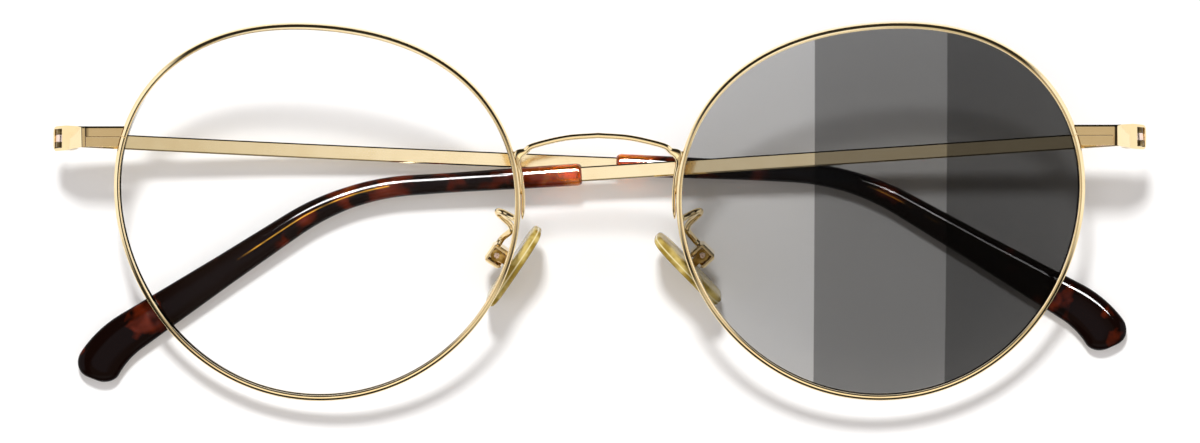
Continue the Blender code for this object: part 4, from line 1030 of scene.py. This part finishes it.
def chamfered(height, thickness):
    """Outlines (up, inward) of boxes with chamfers BAR_CHAMFER wide, one for each pair."""
    half = np.stack(np.broadcast_arrays(height, thickness), axis=-1) / 2
    cut = np.array((BAR_CHAMFER, 0.75 * BAR_CHAMFER))
    signs = np.array(((1, 1), (-1, 1), (-1, -1), (1, -1)))
    corner = half[:, None] * signs
    first, second = corner - signs * cut * (0, 1), corner - signs * cut * (1, 0)
    pairs = np.stack((first, second), axis=2)
    pairs[:, 1::2] = pairs[:, 1::2, ::-1]
    return pairs.reshape(len(half), 8, 2)


def bar_size(lengths):
    """Heights and thicknesses of a bar, which tapers past BAR_LENGTH to its core wire."""
    s = sizes()
    share = np.clip((lengths - BAR_LENGTH) / CORE_TAPER, 0, 1)
    height = s.bar_height + (CORE_HEIGHT - s.bar_height) * share
    return height, s.bar_thickness + (CORE_THICKNESS - s.bar_thickness) * share


def build_bar(side):
    """Temple bar and the core wire that it runs on as: a chamfered section on the path."""
    total = temple_path(side)[0][-1]
    end = total - CORE_SHORT - TIP_ROUND
    lengths = np.concatenate((
        BAR_START + np.array((0.0, 0.05, 0.15)) * MM,
        np.linspace(BAR_START + 0.4 * MM, BAR_LENGTH, 90),
        np.linspace(BAR_LENGTH, end, 90)[1:],
    ))
    pinch = np.ones_like(lengths)
    pinch[:3] = BAR_PINCH
    flats = chamfered(*(size * pinch for size in bar_size(lengths)))
    rings = along_temple(side, lengths, flats)
    mesh = skin(f"temple_arm_{side}", rings, sharp=25 * DEG)
    add_piece(mesh, f"temple_{side}", f"temple_bar_{side}")


def sleeve_height(side, lengths):
    """Height of the sleeve between its six sizes, eased from its mouth to its neck."""
    end = temple_path(side)[0][-1]
    knots = np.array((
        BAR_LENGTH, BAR_LENGTH + 0.6 * (BEND_POINT - BAR_LENGTH), BEND_POINT,
        BEND_POINT + 0.45 * (end - BEND_POINT), end - TIP_ROUND, end,
    ))
    share = np.clip((lengths - knots[0]) / (knots[1] - knots[0]), 0, 1)
    eased = knots[0] + share * share * (3 - 2 * share) * (knots[1] - knots[0])
    return np.interp(np.where(lengths < knots[1], eased, lengths), knots, SLEEVE_SIZES)


def polished_acetate():
    """The collection of the sleeves, which alone mirror the two streak lamps."""
    name = "polished acetate"
    return bpy.data.collections.get(name) or bpy.data.collections.new(name)


def build_sleeve(side):
    """Acetate sleeve: bore from its blind end to the mouth, round the lip, and outside."""
    s = sizes()
    end = temple_path(side)[0][-1]
    deep = np.linspace(end - CORE_SHORT - TIP_ROUND + CORE_CLEARANCE, BAR_LENGTH + 0.05 * MM, 60)
    bore = pillow(*(size + 2 * CORE_CLEARANCE for size in bar_size(deep)))
    turn = np.linspace(0, math.pi / 2, 12)
    lip = BAR_LENGTH + LIP * (1 - np.cos(turn))
    pull = LIP_WALL * (1 - np.sin(turn))
    mouth = pillow(SLEEVE_SIZES[0] - 2 * pull, s.sleeve_thickness - 2 * pull)
    outside = np.linspace(BAR_LENGTH + LIP, end - TIP_ROUND, 150)[1:]
    body = pillow(sleeve_height(side, outside), s.sleeve_thickness)
    turn = np.linspace(0, math.pi / 2, 14)[1:]
    tip = end - TIP_ROUND + TIP_ROUND * np.sin(turn)
    cap = pillow(
        SLEEVE_SIZES[-1] - 2 * TIP_ROUND * (1 - np.cos(turn)),
        s.sleeve_thickness * (0.3 + 0.7 * np.cos(turn)),
    )
    lengths = np.concatenate((deep, lip, outside, tip))
    flats = np.vstack((bore, mouth, body, cap))
    rings = along_temple(side, lengths, flats)
    mesh = skin(f"temple_sleeve_{side}", rings, sharp=70 * DEG)
    store(mesh, "from_mouth", np.repeat(lengths - BAR_LENGTH, rings.shape[1]))
    # Distance across the sleeve's face, which places the painted highlight of the core wire
    store(mesh, "across", np.where(flats[..., 1] > 0, flats[..., 0], 1.0))
    material = material_named("tortoise acetate", tortoise_acetate)
    slot = "tortoise_acetate"
    piece = add_piece(mesh, f"temple_{side}", f"temple_tip_{side}", material=material, slot=slot)
    polished_acetate().objects.link(piece)


def build_pad(side):
    """Silicone pad: a ball pushed out to a cushion, flatter behind and curled.

    Its edge is the curve |z|^n + |r|^n = 1 with n PAD_SQUARENESS and its plan the same
    kind of curve with n PAD_PLAN."""
    s = sizes()
    u = np.linspace(0, 2 * math.pi, 96, endpoint=False)
    v = np.linspace(PAD_POLE, math.pi - PAD_POLE, 48)
    v, u = np.meshgrid(v, u, indexing="ij")
    flat, z = np.sin(v), np.cos(v)
    blunt = (np.abs(np.cos(u)) ** PAD_PLAN + np.abs(np.sin(u)) ** PAD_PLAN) ** (-1 / PAD_PLAN)
    x, y = flat * blunt * np.cos(u), flat * blunt * np.sin(u)
    edge = (np.abs(z) ** PAD_SQUARENESS + flat**PAD_SQUARENESS) ** (-1 / PAD_SQUARENESS)
    crown = np.where(z > 0, 1.0, PAD_BACK_SHARE)
    along, wide, out = x * edge, y * edge, z * edge * crown
    curl = PAD_CURL * (1 - along * along)
    points = np.stack((
        along * s.pad_length / 2,
        PAD_OFFSET + (out + curl) * s.pad_thickness / 2,
        wide * s.pad_width / 2 * (1 + PAD_SPREAD * along),
    ), axis=-1)
    mesh = skin(f"silicone_pad_{side}", carry(pad_frame(side), points), sharp=80 * DEG)
    # Where the painted highlight lies: a band round the pad's edge
    store(mesh, "highlight_band", np.clip(1.6 - np.abs(out / edge) / HIGHLIGHT_BAND_SHARE, 0, 1))
    material = material_named("yellowed silicone", pad_silicone)
    add_piece(mesh, f"pad_{side}", f"nose_pad_{side}", material=material, slot="pad_silicone")


def build_pad_arm(side):
    """Hairpin wire from the back of the rim to the top of the pad's box."""
    s = sizes()
    sign = SIDES[side]
    angle = angle_at_height(-ARM_FOOT_DOWN, False)
    foot = on_front(side, outline(angle, 0.0), -s.rim_depth / 2 - SEAT_GAP)[0]
    route = [foot] + [foot + np.array((sign * a, u, f)) * MM for a, u, f in ARM_ROUTE]
    matrix = front_frame().inverted() @ pad_frame(side)
    reach = BOX_SIZE[0] / 2 + SEAT_GAP
    route += [np.array(matrix @ Vector((-reach - k, -BOX_SIZE[1] / 4, 0)))
              for k in (2 * ARM_RADIUS, 0.0)]
    path = smooth_route(route, 10)
    wide = np.full(len(path), 2 * ARM_RADIUS)
    rings = sweep(path, ellipse(wide, wide, 20), ARM_ASIDE)
    add_piece(skin(f"pad_wire_{side}", carry(front_frame(), rings)), "front", f"pad_arm_{side}")
    heights = np.linspace(-ARM_BEAD_HALF, ARM_BEAD_HALF, 16) - ARM_FOOT_DOWN
    bead = on_front(side, outline(angle_at_height(heights, False)), -s.rim_depth / 2)
    solder(f"pad_solder_{side}", bead, *ARM_BEAD)


def white_table(add):
    """Opal acrylic sheet: diffuse white that passes an eighth of the light from beneath.

    The camera sees the white room through that eighth, so an empty place is just white."""
    path = add("LightPath").outputs
    white = add("BsdfDiffuse", {"Color": (0.80, 0.80, 0.79, 1.0)})
    through = add("BsdfTransparent", {"Color": (0.14, 0.12, 0.10, 1.0)})
    seen = add("AddShader", {0: white, 1: through})
    rays = {0: path["Is Glossy Ray"], 1: path["Is Transmission Ray"]}
    mirrored = add("Math", rays, operation="MAXIMUM")
    power = add("Math", {0: mirrored, 1: 0.25}, operation="MULTIPLY")
    glow = add("Emission", {"Color": WHITE, "Strength": power})
    lit = add("AddShader", {0: white, 1: glow})
    return add("MixShader", {0: path["Is Camera Ray"], 1: lit, 2: seen})


def build_camera():
    """Camera that looks down on the table, at a point near the middle of the glasses."""
    flat = math.cos(CAMERA_ELEVATION)
    back = Vector((
        math.sin(CAMERA_AZIMUTH) * flat, -math.cos(CAMERA_AZIMUTH) * flat,
        math.sin(CAMERA_ELEVATION),
    ))
    right = Vector((0, 1, 0)).cross(back).normalized()
    above = back.cross(right)
    data = bpy.data.cameras.new("camera")
    data.sensor_width = 36.0
    data.lens = CAMERA_LENS
    camera = link_object("camera", data)
    aim = Vector((0, 0, CAMERA_AIM[2])) + right * CAMERA_AIM[0] + above * CAMERA_AIM[1]
    turn = Matrix((right, above, back)).transposed().to_4x4()
    camera.matrix_world = Matrix.Translation(aim + back * CAMERA_DISTANCE) @ turn
    bpy.context.scene.camera = camera


def build_lamps():
    """One key lamp, which casts the shadows, and two streak lamps that the sleeves mirror."""
    for name, toward, away, size, energy, spread in LAMPS:
        lamp = bpy.data.lights.new(name, "AREA")
        lamp.shape = "ELLIPSE"
        lamp.size, lamp.size_y = size
        lamp.energy = energy
        lamp.color = LAMP_COLOUR
        light = link_object(name, lamp)
        direction = Vector(toward).normalized()
        light.location = direction * away
        light.rotation_euler = direction.to_track_quat("Z", "Y").to_euler()
        light.visible_glossy = spread == "gloss"
        light.visible_diffuse = light.visible_transmission = spread == "shade"
        if spread == "gloss":
            light.light_linking.receiver_collection = polished_acetate()


def build_room():
    """Room of tones given by direction, which the metal mirrors; the camera sees it white."""
    scene = bpy.context.scene
    scene.world = scene.world or bpy.data.worlds.new("room")
    scene.world.use_nodes = True
    scene.world.node_tree.nodes.clear()
    add = partial(add_node, scene.world.node_tree)
    place = add("TexCoord").outputs["Generated"]
    axes = add("SeparateXYZ", {"Vector": place}).outputs
    source = {"east": axes["X"], "y": axes["Y"], "z": axes["Z"]}
    source["x"] = add("Math", {0: axes["X"]}, operation="ABSOLUTE")
    source["y2"] = add("Math", {0: axes["Y"], 1: 2.0}, operation="POWER")
    for name, axis, none, full in ROOM_FADES:
        fade = {"Value": source[axis], 1: none, 2: full}
        source[name] = add("MapRange", fade, interpolation_type="SMOOTHSTEP")
    for name, operation, first, second in ROOM_JOINS:
        values = {0: source.get(first, first), 1: source.get(second, second)}
        source[name] = add("Math", values, operation=operation)
    room = add("Background", {"Strength": 0.0})
    for name, code in ROOM_COLOURS:
        light = {"Color": with_alpha(from_hex(code)), "Strength": source[name]}
        room = add("AddShader", {0: room, 1: add("Background", light)})
    white = add("Background", {"Color": WHITE, "Strength": 1.0})
    seen = add("LightPath").outputs["Is Camera Ray"]
    mix = add("MixShader", {0: seen, 1: room, 2: white})
    add("OutputWorld", {"Surface": mix})


def build_stage():
    """White table, the camera, one soft key lamp, two streak lamps and a bright room."""
    bpy.context.scene.view_settings.view_transform = "Standard"
    corners = [(x * TABLE_HALF, y * TABLE_HALF, 0) for x, y in ((-1, -1), (1, -1), (1, 1), (-1, 1))]
    mesh = bpy.data.meshes.new("table")
    mesh.from_pydata(corners, [], [(0, 1, 2, 3)])
    mesh.materials.append(material_named("opal acrylic sheet", white_table))
    table = link_object("table", mesh)
    table.location.z = TABLE_Z
    build_camera()
    build_lamps()
    build_room()


def on_both_sides(build):
    """Builds a pair of pieces, and says that the operator is done."""
    for side in SIDES:
        build(side)
    return {"FINISHED"}


class GLASSES_OT_stage(bpy.types.Operator):
    """Adds the table, the lamps, the room and the camera"""

    bl_idname = "glasses.stage"
    bl_label = "Table, lamps and camera"

    def execute(self, context):
        build_stage()
        return {"FINISHED"}


class GLASSES_OT_rims(bpy.types.Operator):
    """Adds the two grooved eyewires"""

    bl_idname = "glasses.rims"
    bl_label = "Rims"

    def execute(self, context):
        return on_both_sides(build_rim)


class GLASSES_OT_lenses(bpy.types.Operator):
    """Adds the clear lens and the banded lens"""

    bl_idname = "glasses.lenses"
    bl_label = "Lenses"

    def execute(self, context):
        return on_both_sides(build_lens)


class GLASSES_OT_bridge(bpy.types.Operator):
    """Adds the bridge wire"""

    bl_idname = "glasses.bridge"
    bl_label = "Bridge"

    def execute(self, context):
        build_bridge()
        return {"FINISHED"}


class GLASSES_OT_end_pieces(bpy.types.Operator):
    """Adds the blocks beside the lenses with their tails"""

    bl_idname = "glasses.end_pieces"
    bl_label = "End pieces"

    def execute(self, context):
        return on_both_sides(build_end_piece)


class GLASSES_OT_small_metal(bpy.types.Operator):
    """Adds the hinges, the screws, the pad boxes and the pad cores"""

    bl_idname = "glasses.small_metal"
    bl_label = "Small metal"

    def execute(self, context):
        return on_both_sides(build_small_metal)


class GLASSES_OT_bars(bpy.types.Operator):
    """Adds the temple bars with their core wires"""

    bl_idname = "glasses.bars"
    bl_label = "Temple bars"

    def execute(self, context):
        return on_both_sides(build_bar)


class GLASSES_OT_sleeves(bpy.types.Operator):
    """Adds the acetate sleeves on the temples' ends"""

    bl_idname = "glasses.sleeves"
    bl_label = "Sleeves"

    def execute(self, context):
        return on_both_sides(build_sleeve)


class GLASSES_OT_pads(bpy.types.Operator):
    """Adds the silicone pads"""

    bl_idname = "glasses.pads"
    bl_label = "Nose pads"

    def execute(self, context):
        return on_both_sides(build_pad)


class GLASSES_OT_pad_arms(bpy.types.Operator):
    """Adds the hairpin wires that carry the pads"""

    bl_idname = "glasses.pad_arms"
    bl_label = "Pad arms"

    def execute(self, context):
        return on_both_sides(build_pad_arm)


OPERATORS = (
    GLASSES_OT_stage, GLASSES_OT_rims, GLASSES_OT_lenses, GLASSES_OT_bridge,
    GLASSES_OT_end_pieces, GLASSES_OT_small_metal, GLASSES_OT_bars, GLASSES_OT_sleeves,
    GLASSES_OT_pads, GLASSES_OT_pad_arms,
)


class GLASSES_PT_sidebar(bpy.types.Panel):
    """Sizes, colours and a button for each group of pieces."""

    bl_label = "Computer glasses"
    bl_idname = "GLASSES_PT_sidebar"
    bl_space_type = "VIEW_3D"
    bl_region_type = "UI"
    bl_category = "Glasses"

    def draw(self, context):
        for group in (context.scene.glasses_sizes, context.scene.glasses_colours):
            for name in group.__annotations__:
                self.layout.prop(group, name)
        for kind in OPERATORS:
            self.layout.operator(kind.bl_idname)


CLASSES = (GlassesSizes, GlassesColours, *OPERATORS, GLASSES_PT_sidebar)


def register():
    """Registers the classes and the two groups of settings."""
    for kind in CLASSES:
        bpy.utils.register_class(kind)
    bpy.types.Scene.glasses_sizes = PointerProperty(type=GlassesSizes)
    bpy.types.Scene.glasses_colours = PointerProperty(type=GlassesColours)


def unregister():
    """Removes the two groups of settings and the classes."""
    del bpy.types.Scene.glasses_sizes
    del bpy.types.Scene.glasses_colours
    for kind in reversed(CLASSES):
        bpy.utils.unregister_class(kind)


def main():
    """Builds everything in order."""
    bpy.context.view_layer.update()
    register()
    for kind in OPERATORS:
        group, name = kind.bl_idname.split(".")
        getattr(getattr(bpy.ops, group), name)()


if __name__ == "__main__":
    main()
